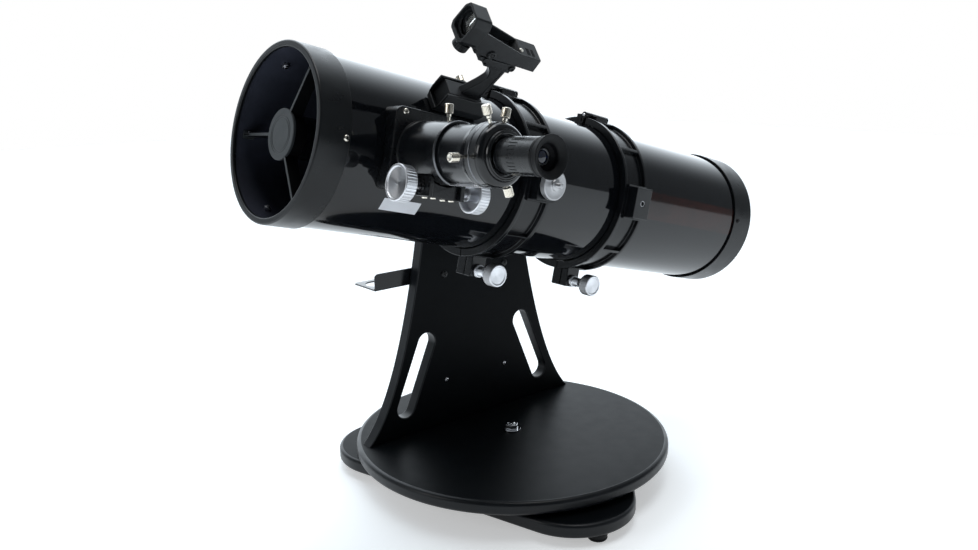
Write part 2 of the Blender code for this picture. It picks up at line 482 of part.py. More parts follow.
def make_focuser():
    here = radial_frame("focuser_frame", TUBE_FRAME, FOCUSER_PLACE, 0)
    low, high = (-SADDLE_HALF_X, -SADDLE_HALF_Y, 0.070), (SADDLE_HALF_X, SADDLE_HALF_Y, SADDLE_FACE)
    base = block("focuser_base", low, high, ANODISED, here)
    drill(base, TUBE_RADIUS + 2 * GAP, -0.1, 0.1, here, (0, 0, 0), ALONG, 64)
    weld(base, rod("housing", HOUSING_RADIUS, 0.100, HOUSING_END, GUIDE, here, sides=36))
    drill(base, HOUSING_BORE, 0.06, 0.17, here, sides=36)
    boolean(base, block("saddle_slot", (0.0, -0.0062, 0.05), (0.0306, 0.0062, 0.12), GUIDE, here))
    boolean(base, block("housing_slot", (0.0, -0.0062, SADDLE_FACE), (0.05, 0.0062, 0.17), GUIDE, here))
    screw_hole(base, here, HOUSING_RADIUS, 0.1420, 84)

    cover = block("pinion_cover", (0.018, -0.0220, 0.1250), (0.0435, 0.0220, 0.1510), ANODISED, here)
    drill(cover, HOUSING_RADIUS + GAP, 0.11, 0.17, here, sides=36)
    shaft_place = (PINION_OFFSET, 0, PINION_HEIGHT)
    drill(cover, 0.0034, -0.05, 0.05, here, shaft_place, ALONG, 16)
    drill(cover, PINION_RADIUS + 0.0008, -0.0066, 0.0066, here, shaft_place, ALONG, 16)
    boolean(cover, block("rack_channel", (0.015, -0.0060, 0.11), (0.0302, 0.0060, 0.17), GUIDE, here))

    shaft = 0.0462
    profile = [(0, -shaft), (0.003, -shaft), (0.003, -0.006), (PINION_RADIUS, -0.006), (PINION_RADIUS, 0.006),
               (0.003, 0.006), (0.003, shaft), (0, shaft)]
    turned("focus_shaft", profile, STEEL, here, shaft_place, ALONG, 16)
    rim, inner, outer, web = KNOB_RADIUS, KNOB_INNER, KNOB_OUTER, 0.0465
    profile = [(0, 0.0490), (0.0150, outer - 0.0008), (0.0156, outer), (rim - 0.0006, outer), (rim, outer - 0.0006),
               (rim, inner + 0.0006), (rim - 0.0006, inner), (0.0150, inner), (0.0150, web), (0.0065, web),
               (0.0065, 0.0340), (0.0033, 0.0340), (0.0033, web), (0, web)]
    turned("focus_knob_front", profile, ALUMINIUM, here, shaft_place, ALONG, 32)
    turned("focus_knob_rear", profile, ALUMINIUM, here, shaft_place, (-90, 0, 0), 32)

    wall = [(DRAWTUBE_BORE, DRAWTUBE_INNER), (DRAWTUBE_RADIUS, DRAWTUBE_INNER), (DRAWTUBE_RADIUS, DRAWTUBE_OUTER),
            (DRAWTUBE_BORE, DRAWTUBE_OUTER)]
    drawtube = turned("drawtube", wall, ANODISED, here, sides=36)
    weld(drawtube, block("rack", (0.0262, -0.005, 0.112), (0.0298, 0.005, 0.1965), GUIDE, here))
    low, high = COLLAR
    profile = [(DRAWTUBE_RADIUS + GAP, low), (0.0287, low), (0.0298, low + 0.0062), (0.0301, low + 0.0075),
               (0.0301, high - 0.0006), (0.0295, high), (DRAWTUBE_RADIUS + GAP, high)]
    collar = turned("drawtube_collar", profile, ANODISED, here, sides=36)

    profile = [(0.0162, 0.2000), (0.0254, 0.2000), (0.0254, ADAPTER_START), (0.0293, ADAPTER_START),
               (0.0298, 0.2118), (0.0298, 0.2193), (0.0294, 0.2215), (0.0282, 0.2237), (0.0258, 0.2256), (0.0230, 0.2266),
               (0.0225, 0.2280), (0.0205, 0.2282), (0.0200, ADAPTER_END), (0.0162, ADAPTER_END)]
    adapter = turned("eyepiece_adapter", profile, ANODISED, here, sides=36)

    thumbscrew("focus_lock_screw", here, 0.0325, 0.1420, 84, 0.0039)
    screw_hole(collar, here, 0.0301, 0.2072, -12)
    thumbscrew("collar_screw", here, 0.0330, 0.2072, -12, 0.0044)
    for number, (seat, angle) in enumerate(((0.0283, 94), (0.0253, -122), (0.0317, 62)), 1):
        screw_hole(adapter, here, 0.0298, 0.2163, angle, 0.006)
        thumbscrew(f"adapter_screw_{number}", here, seat, 0.2163, angle, seat - 0.0248)
    make_eyepiece(here)


def make_eyepiece(here):
    profile = [(0, 0.2120), (BARREL_RADIUS, 0.2120), (BARREL_RADIUS, 0.2295), (0.0162, 0.2295), (0.0164, 0.2299),
               (0.0164, 0.2390), (0.0172, 0.2395), (0.0172, 0.2748), (0.0162, 0.2756), (0.0162, 0.2800),
               (0.0120, 0.2800), (0.0120, 0.2735), (0, 0.2735)]
    turned("eyepiece_body", profile, ANODISED, here, sides=32)
    profile = [(0.0165, 0.2760), (0.0176, 0.2760), (0.0177, 0.2785), (0.0194, 0.2850), (0.0187, 0.2856),
               (0.0125, 0.2813), (0.0125, 0.2803), (0.0165, 0.2803)]
    turned("eyepiece_cup", profile, RUBBER, here, sides=32)
    turned("eyepiece_lens", [(0, 0.2738), (0.0116, 0.2738), (0.0116, 0.2746), (0.0060, 0.2757), (0, 0.2760)],
           GLASS, here, sides=24)


# --- red-dot finder ---------------------------------------------------------------------
def make_finder():
    here = radial_frame("finder_frame", TUBE_FRAME, 0, FINDER_ANGLE)
    right = [(0.0095, 0.0907), (0.0140, 0.1025), (0.0140, 0.1190), (0.0112, 0.1190), (0.0112, 0.0965)]
    outline = right + [(-x, z) for x, z in reversed(right)]
    shoe = prism("finder_shoe", outline, -SHOE_ENDS[1], -SHOE_ENDS[0], PLASTIC, here, "XZ")
    screw_place = (0, -0.2150, 0.1110)
    drill(shoe, 0.0020, 0.005, 0.02, here, screw_place, (0, -90, 0), 12)
    seat = 0.0143
    profile = [(0, seat - 0.0030), (0.0016, seat - 0.0030), (0.0016, seat + 0.0040), (0.0042, seat + 0.0045),
               (0.0048, seat + 0.0052), (0.0048, seat + 0.0123), (0.0042, seat + 0.0130), (0, seat + 0.0130)]
    turned("shoe_screw", profile, ALUMINIUM, here, screw_place, (0, -90, 0), 16)

    foot = (-0.0108, -0.2455, 0.0968), (0.0108, -0.2030, 0.1185)
    stalk = block("finder_stalk", *foot, PLASTIC, here)
    blade = [(0.2290, 0.1175), (0.2240, 0.1275), (0.2172, 0.1390), (0.2158, 0.1462), (0.2200, 0.1560),
             (0.2330, 0.1650), (0.2035, 0.1650), (0.2035, 0.1175)]
    weld(stalk, prism("blade", [(-s, z) for s, z in blade], -0.0048, 0.0048, GUIDE, here, "YZ"))
    weld(stalk, block("stalk_head", (-0.0106, -0.2490, 0.1640), (0.0106, -0.1990, 0.1735), GUIDE, here))
    slot = block("pivot_slot", (-0.0062, -0.2170, 0.1650), (0.0062, -0.1950, 0.18), GUIDE, here)
    boolean(stalk, slot)

    back, front = FINDER_ENDS
    body = block("finder_body", (-0.0116, -front, 0.1757), (0.0116, -back, 0.1920), PLASTIC, here)
    weld(body, block("hood_neck", (-0.0110, -0.2660, 0.1800), (0.0110, -0.2570, 0.1920), GUIDE, here))
    hood = [(-0.0105, 0.1805), (0.0105, 0.1805), (0.0145, 0.1855), (0.0145, 0.2070), (0.0105, 0.2140),
            (-0.0105, 0.2140), (-0.0145, 0.2070), (-0.0145, 0.1855)]
    weld(body, prism("hood", hood, -0.2840, -0.2650, GUIDE, here, "XZ"))
    weld(body, block("pivot_lug", (-0.0055, -0.2140, 0.1672), (0.0055, -0.2010, 0.1785), GUIDE, here))
    opening = [(-0.0093, 0.1852), (0.0093, 0.1852), (0.0125, 0.1890), (0.0125, 0.2055), (0.0092, 0.2120),
               (-0.0092, 0.2120), (-0.0125, 0.2055), (-0.0125, 0.1890)]
    boolean(body, prism("hood_opening", opening, -0.30, -0.2660, GUIDE, here, "XZ"))
    boolean(body, block("sight_gap", (-0.0095, -0.2700, 0.1935), (0.0095, -0.25, 0.2080), GUIDE, here))
    pane = [(0.97 * x, 0.1986 + 0.97 * (z - 0.1986)) for x, z in opening]
    prism("finder_window", pane, -0.2727, -0.2715, GLASS, here, "XZ")
    dial = [(0, 0.1685), (0.0079, 0.1685), (0.0085, 0.1692), (0.0085, 0.1770), (0.0062, 0.1772), (0.0062, 0.1797),
            (0, 0.1797)]
    turned("finder_dial", dial, PLASTIC, here, (0, -0.2690, 0), sides=20)


def main():
    make_ground()
    make_turntable()
    make_altitude()
    frames = [make_ring(number, place) for number, place in enumerate(RING_PLACES, 1)]
    make_piggyback(frames[0])
    make_tube()
    make_optics()
    make_focuser()
    make_finder()


main()
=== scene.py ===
"""Looks for the newtonian reflector telescope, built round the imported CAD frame.

Metres, +Z up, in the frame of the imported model. Every piece sits in one of five frames
that come from the record's joints: base, cradle, tube, focuser and finder.
"""

import json
from math import atan2, cos, degrees, pi, radians, sin, sqrt

import bmesh
import bpy
from mathutils import Matrix, Vector
from mathutils.geometry import tessellate_polygon


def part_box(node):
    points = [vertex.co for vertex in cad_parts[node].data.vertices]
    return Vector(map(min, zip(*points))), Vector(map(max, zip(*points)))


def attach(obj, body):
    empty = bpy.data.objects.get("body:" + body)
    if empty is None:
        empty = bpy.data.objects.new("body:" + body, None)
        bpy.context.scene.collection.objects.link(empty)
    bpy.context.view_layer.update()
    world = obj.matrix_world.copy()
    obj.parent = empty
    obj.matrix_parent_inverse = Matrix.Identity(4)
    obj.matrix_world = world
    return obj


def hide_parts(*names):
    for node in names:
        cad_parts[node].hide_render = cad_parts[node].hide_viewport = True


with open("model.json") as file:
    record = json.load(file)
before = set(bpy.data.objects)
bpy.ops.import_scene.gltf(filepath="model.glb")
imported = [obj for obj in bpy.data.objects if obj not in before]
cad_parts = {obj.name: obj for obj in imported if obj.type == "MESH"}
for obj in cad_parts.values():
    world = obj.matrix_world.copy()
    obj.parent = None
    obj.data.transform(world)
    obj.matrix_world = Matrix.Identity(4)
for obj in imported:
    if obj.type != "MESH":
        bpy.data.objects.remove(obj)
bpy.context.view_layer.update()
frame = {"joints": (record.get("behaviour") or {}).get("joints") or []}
JOINTS = {joint["name"]: joint for joint in frame["joints"]}


# --- frames -----------------------------------------------------------------------------
def axes(x, y, z, origin):
    made = Matrix((x, y, z)).transposed().to_4x4()
    made.translation = origin
    return made


def shift(x=0.0, y=0.0, z=0.0):
    return Matrix.Translation((x, y, z))


def turn(angle, axis):
    return Matrix.Rotation(radians(angle), 4, axis)


def radial(parent, along, angle):
    """On the tube's axis, Z straight out of the tube at an angle from the parent's +X."""
    return parent @ shift(0, -along, 0) @ turn(90 - angle, "Y")


ACROSS = Vector((1, 0, 0))
FORWARD = Vector(JOINTS["tube_roll"]["axis"]).normalized()
OUT = Vector(JOINTS["focus_slide"]["axis"]).normalized()
CENTRE = Vector(JOINTS["altitude_tilt"]["pos_m"])
PIVOT = Vector(JOINTS["azimuth_turn"]["pos_m"])
PINION = Vector(JOINTS["focus_knob_turn"]["pos_m"])
FOCUSER_PLACE = (PINION - CENTRE).dot(FORWARD)
FINDER_ANGLE = 38.0

BASE = shift(PIVOT.x, PIVOT.y, 0)
CRADLE = axes(ACROSS, -FORWARD, ACROSS.cross(-FORWARD), CENTRE)
TUBE = axes(OUT, -FORWARD, OUT.cross(-FORWARD), CENTRE)
FOCUSER = radial(TUBE, FOCUSER_PLACE, 0)
FINDER = radial(TUBE, 0, FINDER_ANGLE)
UP_TUBE = turn(90, "X")                   # a lathe's Z turned to point up the tube
SIDEWAYS = turn(90, "Y")                  # a lathe's Z turned to +X

# --- dimensions shared by several pieces --------------------------------------------------
GAP = 0.0003                              # left between solids that touch
WELD = 1e-6                               # points closer than this are one point
SHARP_ANGLE = 33
FOOT_HEIGHT, BOARD = 0.011, 0.018
GROUND_TOP = FOOT_HEIGHT + BOARD
DISC_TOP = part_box("turntable_disc")[1].z
SIDE_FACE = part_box("side_board")[1].x - PIVOT.x
SIDE_BACK = SIDE_FACE - BOARD
TUBE_RADIUS, TUBE_INNER = 0.09, 0.0885
SHEET_LIFT, SHEET_THICKNESS = 0.00005, 0.00012
HINGE = (0.007, 0.0, 0.102)
CLAMP_HEIGHT = -0.1136
RING_PLACES = (0.1024, -0.0627)
REAR_FACE = -0.333
COLLIMATION_REACH = 0.066                 # from the tube's axis to each knob's


# --- materials ----------------------------------------------------------------------------
LINE_DEPTH = 0.00004                      # of turned and brushed lines


def fill(node, **values):
    """Sets a node's own sockets, with an underscore for each space in a socket's name."""
    for socket, value in values.items():
        node.inputs[socket.replace("_", " ")].default_value = value
    return node


def look(name, colour, rough, metallic=0.0, shine=0.5, grain=0.0, grain_size=0.001, blotch=0.15,
        spread=0.06, coat=0.0, turned=0.0, brushed=0.0, specks=0.0, clear=0.0):
    """A surface with colour and gloss that vary, fine grain, and turned or brushed lines."""
    made = bpy.data.materials.new(name)
    made.use_nodes = True
    nodes, links = made.node_tree.nodes, made.node_tree.links
    shader = nodes["Principled BSDF"]
    fill(shader, Metallic=metallic, Specular_IOR_Level=shine, Coat_Weight=coat, Coat_Roughness=0.05)
    if clear:
        fill(shader, Transmission_Weight=clear, IOR=1.5)
    place = nodes.new("ShaderNodeTexCoord").outputs["Object"]

    def noise(size, detail=3.0, stretch=None):
        source = place
        if stretch:
            mapping = fill(nodes.new("ShaderNodeMapping"), Scale=stretch)
            links.new(place, mapping.inputs["Vector"])
            source = mapping.outputs["Vector"]
        field = fill(nodes.new("ShaderNodeTexNoise"), Scale=1.0 / size, Detail=detail)
        links.new(source, field.inputs["Vector"])
        return field.outputs["Fac"]

    def ranged(value, low, high, first=0.3, last=0.7):
        node = fill(nodes.new("ShaderNodeMapRange"), From_Min=first, From_Max=last, To_Min=low, To_Max=high)
        links.new(value, node.inputs["Value"])
        return node.outputs["Result"]

    def brighter(share, lift=0.0):
        return (*[min(1, c * share + lift) for c in colour], 1)

    ramp = nodes.new("ShaderNodeValToRGB")
    for end, position, share in zip(ramp.color_ramp.elements, (0.35, 0.65), (1 - blotch, 1 + blotch)):
        end.position, end.color = position, brighter(share)
    links.new(noise(0.035, 4.0), ramp.inputs["Fac"])
    tint = ramp.outputs["Color"]
    if specks:
        mix = nodes.new("ShaderNodeMix")
        mix.data_type = "RGBA"
        mix.inputs["B"].default_value = brighter(2.6, 0.01)
        links.new(ranged(noise(0.0011, 2.0), 0, specks, 0.62, 0.74), mix.inputs["Factor"])
        links.new(tint, mix.inputs["A"])
        tint = mix.outputs["Result"]
    links.new(tint, shader.inputs["Base Color"])
    links.new(
        ranged(noise(0.018, 5.0), max(0.02, rough - spread), rough + spread), shader.inputs["Roughness"])

    height = None
    if turned:
        rings = fill(nodes.new("ShaderNodeTexWave"), Scale=900, Distortion=0.6, Detail=2)
        rings.wave_type, rings.rings_direction = "RINGS", "Z"
        links.new(place, rings.inputs["Vector"])
        height, strength, distance = rings.outputs["Fac"], turned, LINE_DEPTH
        tangent = nodes.new("ShaderNodeTangent")
        tangent.direction_type, tangent.axis = "RADIAL", "Z"
        links.new(tangent.outputs["Tangent"], shader.inputs["Tangent"])
        shader.inputs["Anisotropic"].default_value = 0.7
    elif brushed:
        height, strength, distance = noise(0.0006, 2.0, (1, 0.03, 1)), brushed, LINE_DEPTH
    elif grain:
        height, strength, distance = noise(grain_size, 3.0), grain, grain_size * 0.12
    if height is not None:
        bump = fill(nodes.new("ShaderNodeBump"), Strength=strength, Distance=distance)
        links.new(height, bump.inputs["Height"])
        links.new(bump.outputs["Normal"], shader.inputs["Normal"])
    return made


LAMINATE = look(
    "black_laminate", (0.0034, 0.0044, 0.0055), 0.4, shine=0.052, grain=0.3, grain_size=0.0007, blotch=0.08,
    spread=0.025, specks=0.15)
EDGE = look("painted_edge", (0.005, 0.0062, 0.008), 0.36, shine=0.28, grain=0.3, grain_size=0.0015)
GLOSS = look(
    "gloss_black_paint", (0.0034, 0.004, 0.0052), 0.07, shine=0.45, grain=0.04, grain_size=0.0025,
    spread=0.02)
# Flat black, used both as a real black finish and as painted shade: in the screws' cross slots, on the
# spider's vane sides and in the eyepiece's recess.
BLACK_AND_SHADE = look("flat_black_and_painted_shade", (0.002, 0.0022, 0.003), 0.6, shine=0.12, grain=0.5, grain_size=0.0006)
# The tube's inner wall is a blue-grey many times lighter than flat black. This is painted light standing in
# for the light that comes in at the open end.
LINING_PAINTED_LIGHT = look("tube_lining_painted_light", (0.03, 0.033, 0.048), 0.55, shine=0.2, grain=0.5, grain_size=0.0006)
CAP = look("satin_black_cap", (0.0042, 0.005, 0.006), 0.32, shine=0.32, grain=0.22, grain_size=0.0009)
CAST = look("black_ring_enamel", (0.004, 0.0047, 0.0058), 0.2, shine=0.36, grain=0.18, grain_size=0.0016)
ANODISED = look("black_anodised", (0.0045, 0.0052, 0.0064), 0.22, shine=0.5, turned=0.1, spread=0.04)
EDGED = look("worn_anodised_edge", (0.17, 0.175, 0.185), 0.24, metallic=0.9, turned=0.2, blotch=0.1)
POLISHED = look("polished_anodised", (0.004, 0.0046, 0.0056), 0.13, shine=0.5, turned=0.06, spread=0.03)
MACHINED = look("black_machined_block", (0.0048, 0.0056, 0.0068), 0.27, shine=0.45, brushed=0.15)
BRIGHT = look(
    "turned_aluminium", (0.8, 0.81, 0.84), 0.36, metallic=1.0, turned=0.22, blotch=0.04, spread=0.05)
FROSTED = look(
    "frosted_aluminium", (0.46, 0.46, 0.47), 0.4, metallic=1.0, grain=0.3, grain_size=0.0004, blotch=0.05)
NICKEL = look("nickel_plate", (0.82, 0.77, 0.68), 0.2, metallic=1.0, turned=0.1, blotch=0.06)
CHROME = look("chrome_plate", (0.78, 0.78, 0.8), 0.1, metallic=1.0, blotch=0.05, grain=0.1, grain_size=0.001)
STEEL = look("brushed_steel", (0.55, 0.55, 0.57), 0.28, metallic=1.0, turned=0.2)
PLASTIC = look("black_moulding", (0.0062, 0.0074, 0.0088), 0.4, shine=0.32, grain=0.5, grain_size=0.0007)
RUBBER = look("black_rubber", (0.005, 0.0054, 0.0062), 0.58, shine=0.22, grain=0.4, grain_size=0.0005)
NYLON = look("natural_nylon", (0.72, 0.7, 0.64), 0.42, grain=0.2, grain_size=0.001)
HUB = look(
    "grey_moulding", (0.034, 0.039, 0.042), 0.48, shine=0.4, grain=0.35, grain_size=0.0007, blotch=0.08)
SILVER = look("silvered_glass", (0.92, 0.93, 0.94), 0.025, metallic=1.0, blotch=0.01, spread=0.005)
COATED = look("beam_splitter", (0.9, 0.9, 0.87), 0.08, blotch=0.05, spread=0.02, clear=0.85)
LENS = look("coated_lens", (0.0015, 0.004, 0.016), 0.04, coat=0.6, blotch=0.3, spread=0.01)
LABEL = look("blank_label", (0.6, 0.61, 0.64), 0.34, grain=0.1, blotch=0.06)
BAND = look(
    "brown_band", (0.022, 0.0062, 0.0048), 0.11, shine=0.45, grain=0.05, grain_size=0.0025, blotch=0.45,
    spread=0.03)


# --- mesh tools ---------------------------------------------------------------------------
def arc(centre, radius, start, end, steps):
    angles = [radians(start + (end - start) * step / steps) for step in range(steps + 1)]
    return [(centre[0] + radius * cos(a), centre[1] + radius * sin(a)) for a in angles]


def circle(radius, sides, centre=(0, 0)):
    return arc(centre, radius, 0, 360 * (sides - 1) / sides, sides - 1)


def mirrored(half):
    """An outline whose other half is the mirror image at u = 0."""
    return half + [(-u, v) for u, v in reversed(half)]


def bend(first, pull, last, steps):
    return [
        tuple((1 - t) ** 2 * a + 2 * t * (1 - t) * b + t * t * c for a, b, c in zip(first, pull, last))
        for t in (step / steps for step in range(steps + 1))]


def curve_through(first, middle, last, steps):
    pull = [2 * m - (f + e) / 2 for f, m, e in zip(first, middle, last)]
    return bend(first, pull, last, steps)


def soften(points, radius, closed, steps=3):
    """Rounds the corners of a profile or an outline. A third number leaves a corner alone."""
    made = []
    count = len(points)
    for index, point in enumerate(points):
        inner = closed or 0 < index < count - 1
        if not inner or radius <= 0 or len(point) > 2:
            made.append(point)
            continue
        here = Vector(point[:2])
        before = Vector(points[index - 1][:2]) - here
        after = Vector(points[(index + 1) % count][:2]) - here
        if before.length < 1e-7 or after.length < 1e-7 or before.angle(after) > radians(160):
            made.append(point)
            continue
        reach = min(radius, 0.45 * before.length, 0.45 * after.length)
        start, end = here + before.normalized() * reach, here + after.normalized() * reach
        made += bend(tuple(start), tuple(here), tuple(end), steps)
    return made


def rectangle(low, high, radius):
    corners = [(low[0], low[1]), (high[0], low[1]), (high[0], high[1]), (low[0], high[1])]
    return soften(corners, radius, True, 4)


def area(loop):
    return sum(a[0] * b[1] - b[0] * a[1] for a, b in zip(loop, loop[1:] + loop[:1])) / 2


def inset(loop, distance):
    """Moves a loop to its left by a distance, corners mitred."""
    made = []
    for before, here, after in zip(loop[-1:] + loop[:-1], loop, loop[1:] + loop[:1]):
        one = (Vector(here) - Vector(before)).normalized()
        two = (Vector(after) - Vector(here)).normalized()
        left_one, left_two = Vector((-one.y, one.x)), Vector((-two.y, two.x))
        mitre = (left_one + left_two) / max(0.3, 1 + left_one.dot(left_two))
        made.append(tuple(Vector(here) + mitre * distance))
    return made


def put(name, data):
    made = bpy.data.objects.new(name, data)
    bpy.context.scene.collection.objects.link(made)
    return made


class Shape:
    """One piece made of closed shells, in its own frame."""

    def __init__(self, name, at):
        self.name, self.at, self.bm = name, at, bmesh.new()

    def face(self, corners, surface=0):
        corners = list(dict.fromkeys(corners))
        if len(corners) > 2:
            self.bm.faces.new(corners).material_index = surface

    def lathe(self, profile, sides=96, at=Matrix(), surface=0, soft=0.0004, start=0.0, end=360.0, teeth=0,
            cut=0.0):
        """A profile turned round Z. Points with a third number are cut into by that depth."""
        closed = profile[0][0] > 0
        points = soften(profile, soft, closed)
        whole = end - start >= 360
        columns = sides if whole else sides + 1
        rows = []
        for point in points:
            radius, height = point[:2]
            depth = point[2] if len(point) > 2 else 0.0
            if radius == 0:
                rows.append([self.bm.verts.new(at @ Vector((0, 0, height)))] * columns)
                continue
            row = []
            for step in range(columns):
                angle = radians(start + (end - start) * step / sides)
                low = teeth and depth and (step * teeth * 6 // sides) % 6 in (4, 5)
                here = radius - (depth if low else 0.0)
                row.append(self.bm.verts.new(at @ Vector((here * cos(angle), here * sin(angle), height))))
            rows.append(row)
        spans = list(zip(rows, rows[1:])) + ([(rows[-1], rows[0])] if closed else [])
        heights = points + points[:1]
        for index, (one, two) in enumerate(spans):
            middle = [(a + b) / 2 for a, b in zip(heights[index][:2], heights[index + 1][:2])]
            which = surface(*middle) if callable(surface) else surface
            for step in range(sides):
                after = (step + 1) % columns
                self.face([one[step], one[after], two[after], two[step]], which)
        if not whole:
            which = surface if not callable(surface) else 0
            self.face([row[0] for row in rows], which)
            self.face([row[-1] for row in rows], which)
        return self

    def slab(self, loops, low, high, plane="XY", at=Matrix(), surface=0, rim=None, soft=0.0005, steps=3):
        """Flat loops, the outline first and then its holes, made solid with rounded rims."""
        order = {"XY": (0, 1, 2), "YZ": (2, 0, 1), "XZ": (0, 2, 1)}[plane]
        loops = [[tuple(p[:2]) for p in loop] for loop in loops]
        loops = [
            loop if (area(loop) > 0) == (number == 0) else loop[::-1] for number, loop in enumerate(loops)]
        soft = min(soft, (high - low) * 0.49)
        quarter = [radians(90 * step / steps) for step in range(steps + 1)] if soft > 0 else [0.0]
        levels = [(soft * (1 - sin(a)), low + soft * (1 - cos(a))) for a in quarter]
        levels += [(soft * (1 - sin(a)), high - soft * (1 - cos(a))) for a in reversed(quarter)]
        rows = []
        for pull, height in levels:
            moved = [inset(loop, pull) for loop in loops]
            rows.append(
                [[self.bm.verts.new(at @ Vector([(u, v, height)[axis] for axis in order])) for u, v in loop]
                for loop in moved])
        for one, two in zip(rows, rows[1:]):
            for below, above in zip(one, two):
                for index in range(len(below)):
                    after = (index + 1) % len(below)
                    self.face(
                        [below[index], below[after], above[after], above[index]], surface if rim is None
                        else rim)
        for row, (pull, _) in ((rows[0], levels[0]), (rows[-1], levels[-1])):
            flat = [[Vector((*point, 0)) for point in inset(loop, pull)] for loop in loops]
            corners = [vert for loop in row for vert in loop]
            for triangle in tessellate_polygon(flat):
                self.face([corners[index] for index in triangle], surface)
        return self

    def cheeks(self, loop, near, far, soft):
        """The same plate twice, on both sides of the frame's YZ plane."""
        self.slab([loop], near, far, "YZ", soft=soft)
        self.slab([loop], -far, -near, "YZ", soft=soft)

    def block(self, low, high, at=Matrix(), surface=0, soft=0.0005):
        return self.slab([rectangle(low, high, soft)], low[2], high[2], at=at, surface=surface, soft=soft)

    def rod(self, radius, low, high, at=Matrix(), surface=0, soft=0.0004, sides=48):
        return self.lathe([(0, low), (radius, low), (radius, high), (0, high)], sides, at, surface, soft)

    def loft(self, sections):
        """Rings of points joined one to the next, closed by a flat face at each end."""
        rows = [[self.bm.verts.new(point) for point in ring] for ring in sections]
        for one, two in zip(rows, rows[1:]):
            for index in range(len(one)):
                after = (index + 1) % len(one)
                self.face([one[index], one[after], two[after], two[index]])
        self.face(rows[0])
        self.face(rows[-1])
        return self

    def build(self, name, looks):
        bmesh.ops.remove_doubles(self.bm, verts=self.bm.verts, dist=WELD)
        bmesh.ops.recalc_face_normals(self.bm, faces=self.bm.faces)
        mesh = bpy.data.meshes.new(name)
        self.bm.to_mesh(mesh)
        self.bm.free()
        mesh.shade_smooth()
        mesh.set_sharp_from_angle(angle=radians(SHARP_ANGLE))
        for surface in looks if isinstance(looks, (list, tuple)) else [looks]:
            mesh.materials.append(surface)
        made = put(name, mesh)
        made.matrix_world = self.at
        made.modifiers.new("even_shading", "WEIGHTED_NORMAL").keep_sharp = True
        return made

    def show(self, looks, body, slot=None):
        """Puts the piece on a body, in place of the node of its name; with a slot it keeps its own name and
        hides no node.
        """
        made = self.build(self.name if slot else f"{self.name}_look", looks)
        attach(made, body)
        if slot:
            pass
        else:
            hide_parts(self.name)
        return made


def thread(radius, low, high, pitch=0.001, depth=0.0004):
    """A screw thread's profile, from low to high."""
    count = max(1, round((high - low) / pitch))
    points = []
    for step in range(count):
        at = low + (high - low) * step / count
        points += [(radius - depth, at, 0.0), (radius, at + (high - low) / count / 2, 0.0)]
    return points + [(radius - depth, high, 0.0)]


def screw(name, at, radius, height, surface, body, slot="steel"):
    """A cross-head screw, its head's seat at the frame's origin and its head along +Z."""
    shape = Shape(name, at)
    shape.lathe(
        [(0, 0), (radius, 0), (radius, height * 0.35), (radius * 0.86, height * 0.78),
        (radius * 0.55, height), (0, height)], 32, soft=0.0003)
    slit, reach = radius * 0.13, radius * 0.58
    # The cross is two flat black bars standing a little proud of the head. They are painted shade for the
    # recessed slots.
    for angle in (20, 110):
        shape.block((-reach, -slit, height * 0.9), (reach, slit, height * 1.02), turn(angle, "Z"), 1, soft=0)
    shape.show([surface, BLACK_AND_SHADE], body, slot)


# --- ground board and turntable -----------------------------------------------------------
def make_ground():
    outline = []
    for angle in (-135, -15, 105):
        centre = (0.167 * cos(radians(angle)), 0.167 * sin(radians(angle)))
        outline += arc(centre, 0.082, angle - 60, angle + 60, 32)
    hole = circle(0.0056, 24)
    board = Shape("ground_board", BASE)
    board.slab([outline, hole], FOOT_HEIGHT, GROUND_TOP, rim=1, soft=0.0045, steps=5)
    board.show([LAMINATE, EDGE], "ground")
    for number, angle in enumerate((-15, 105, -135), 1):
        place = shift(0.232 * cos(radians(angle)), 0.232 * sin(radians(angle)), 0)
        foot = Shape(f"foot_{number}", BASE @ place)
        foot.lathe(
            [(0, 0.0035), (0.0042, 0.0035), (0.0042, 0), (0.011, 0), (0.0122, 0.0016), (0.0122, 0.003),
            (0.0116, 0.0036), (0.013, 0.009), (0.013, FOOT_HEIGHT - GAP), (0, FOOT_HEIGHT - GAP)], 64,
            soft=0.0006)
        foot.show(RUBBER, "ground")
        screw(
            f"foot_screw_{number}", BASE @ place @ shift(z=0.0034) @ turn(180, "X"), 0.0034, 0.002, STEEL,
            "ground")

    low, high = GROUND_TOP + GAP, GROUND_TOP + 0.0042
    Shape("glide_ring", BASE).lathe(
        [(0.115, low), (0.14, low), (0.14, high), (0.115, high)], 160).show(NYLON, "ground")
    bolt = Shape("pivot_bolt", BASE)
    bolt.slab([circle(0.01, 6)], 0.0056, 0.0092, soft=0.0005)
    bolt.lathe(
        [(0, 0.009), (0.0105, 0.009), (0.0105, 0.0106), (0.0049, 0.0106), (0.0049, DISC_TOP - 0.002)]
        + thread(0.0049, DISC_TOP - 0.002, DISC_TOP + 0.0098) + [(0.0036, DISC_TOP + 0.0105),
        (0, DISC_TOP + 0.0105)], 48)
    bolt.show(CHROME, "ground")
    nut = Shape("pivot_nut", BASE)
    hexagon, bore = arc((0, 0), 0.0093, 10, 310, 5), circle(0.0056, 24)
    seat = DISC_TOP + GAP
    nut.lathe(
        [(0.0057, seat), (0.0125, seat), (0.0125, seat + 0.0014), (0.0057, seat + 0.0014)], 64, soft=0.0003)
    nut.slab([hexagon, bore], seat + 0.0014, seat + 0.0085, soft=0.0007, steps=3)
    nut.show(CHROME, "ground")


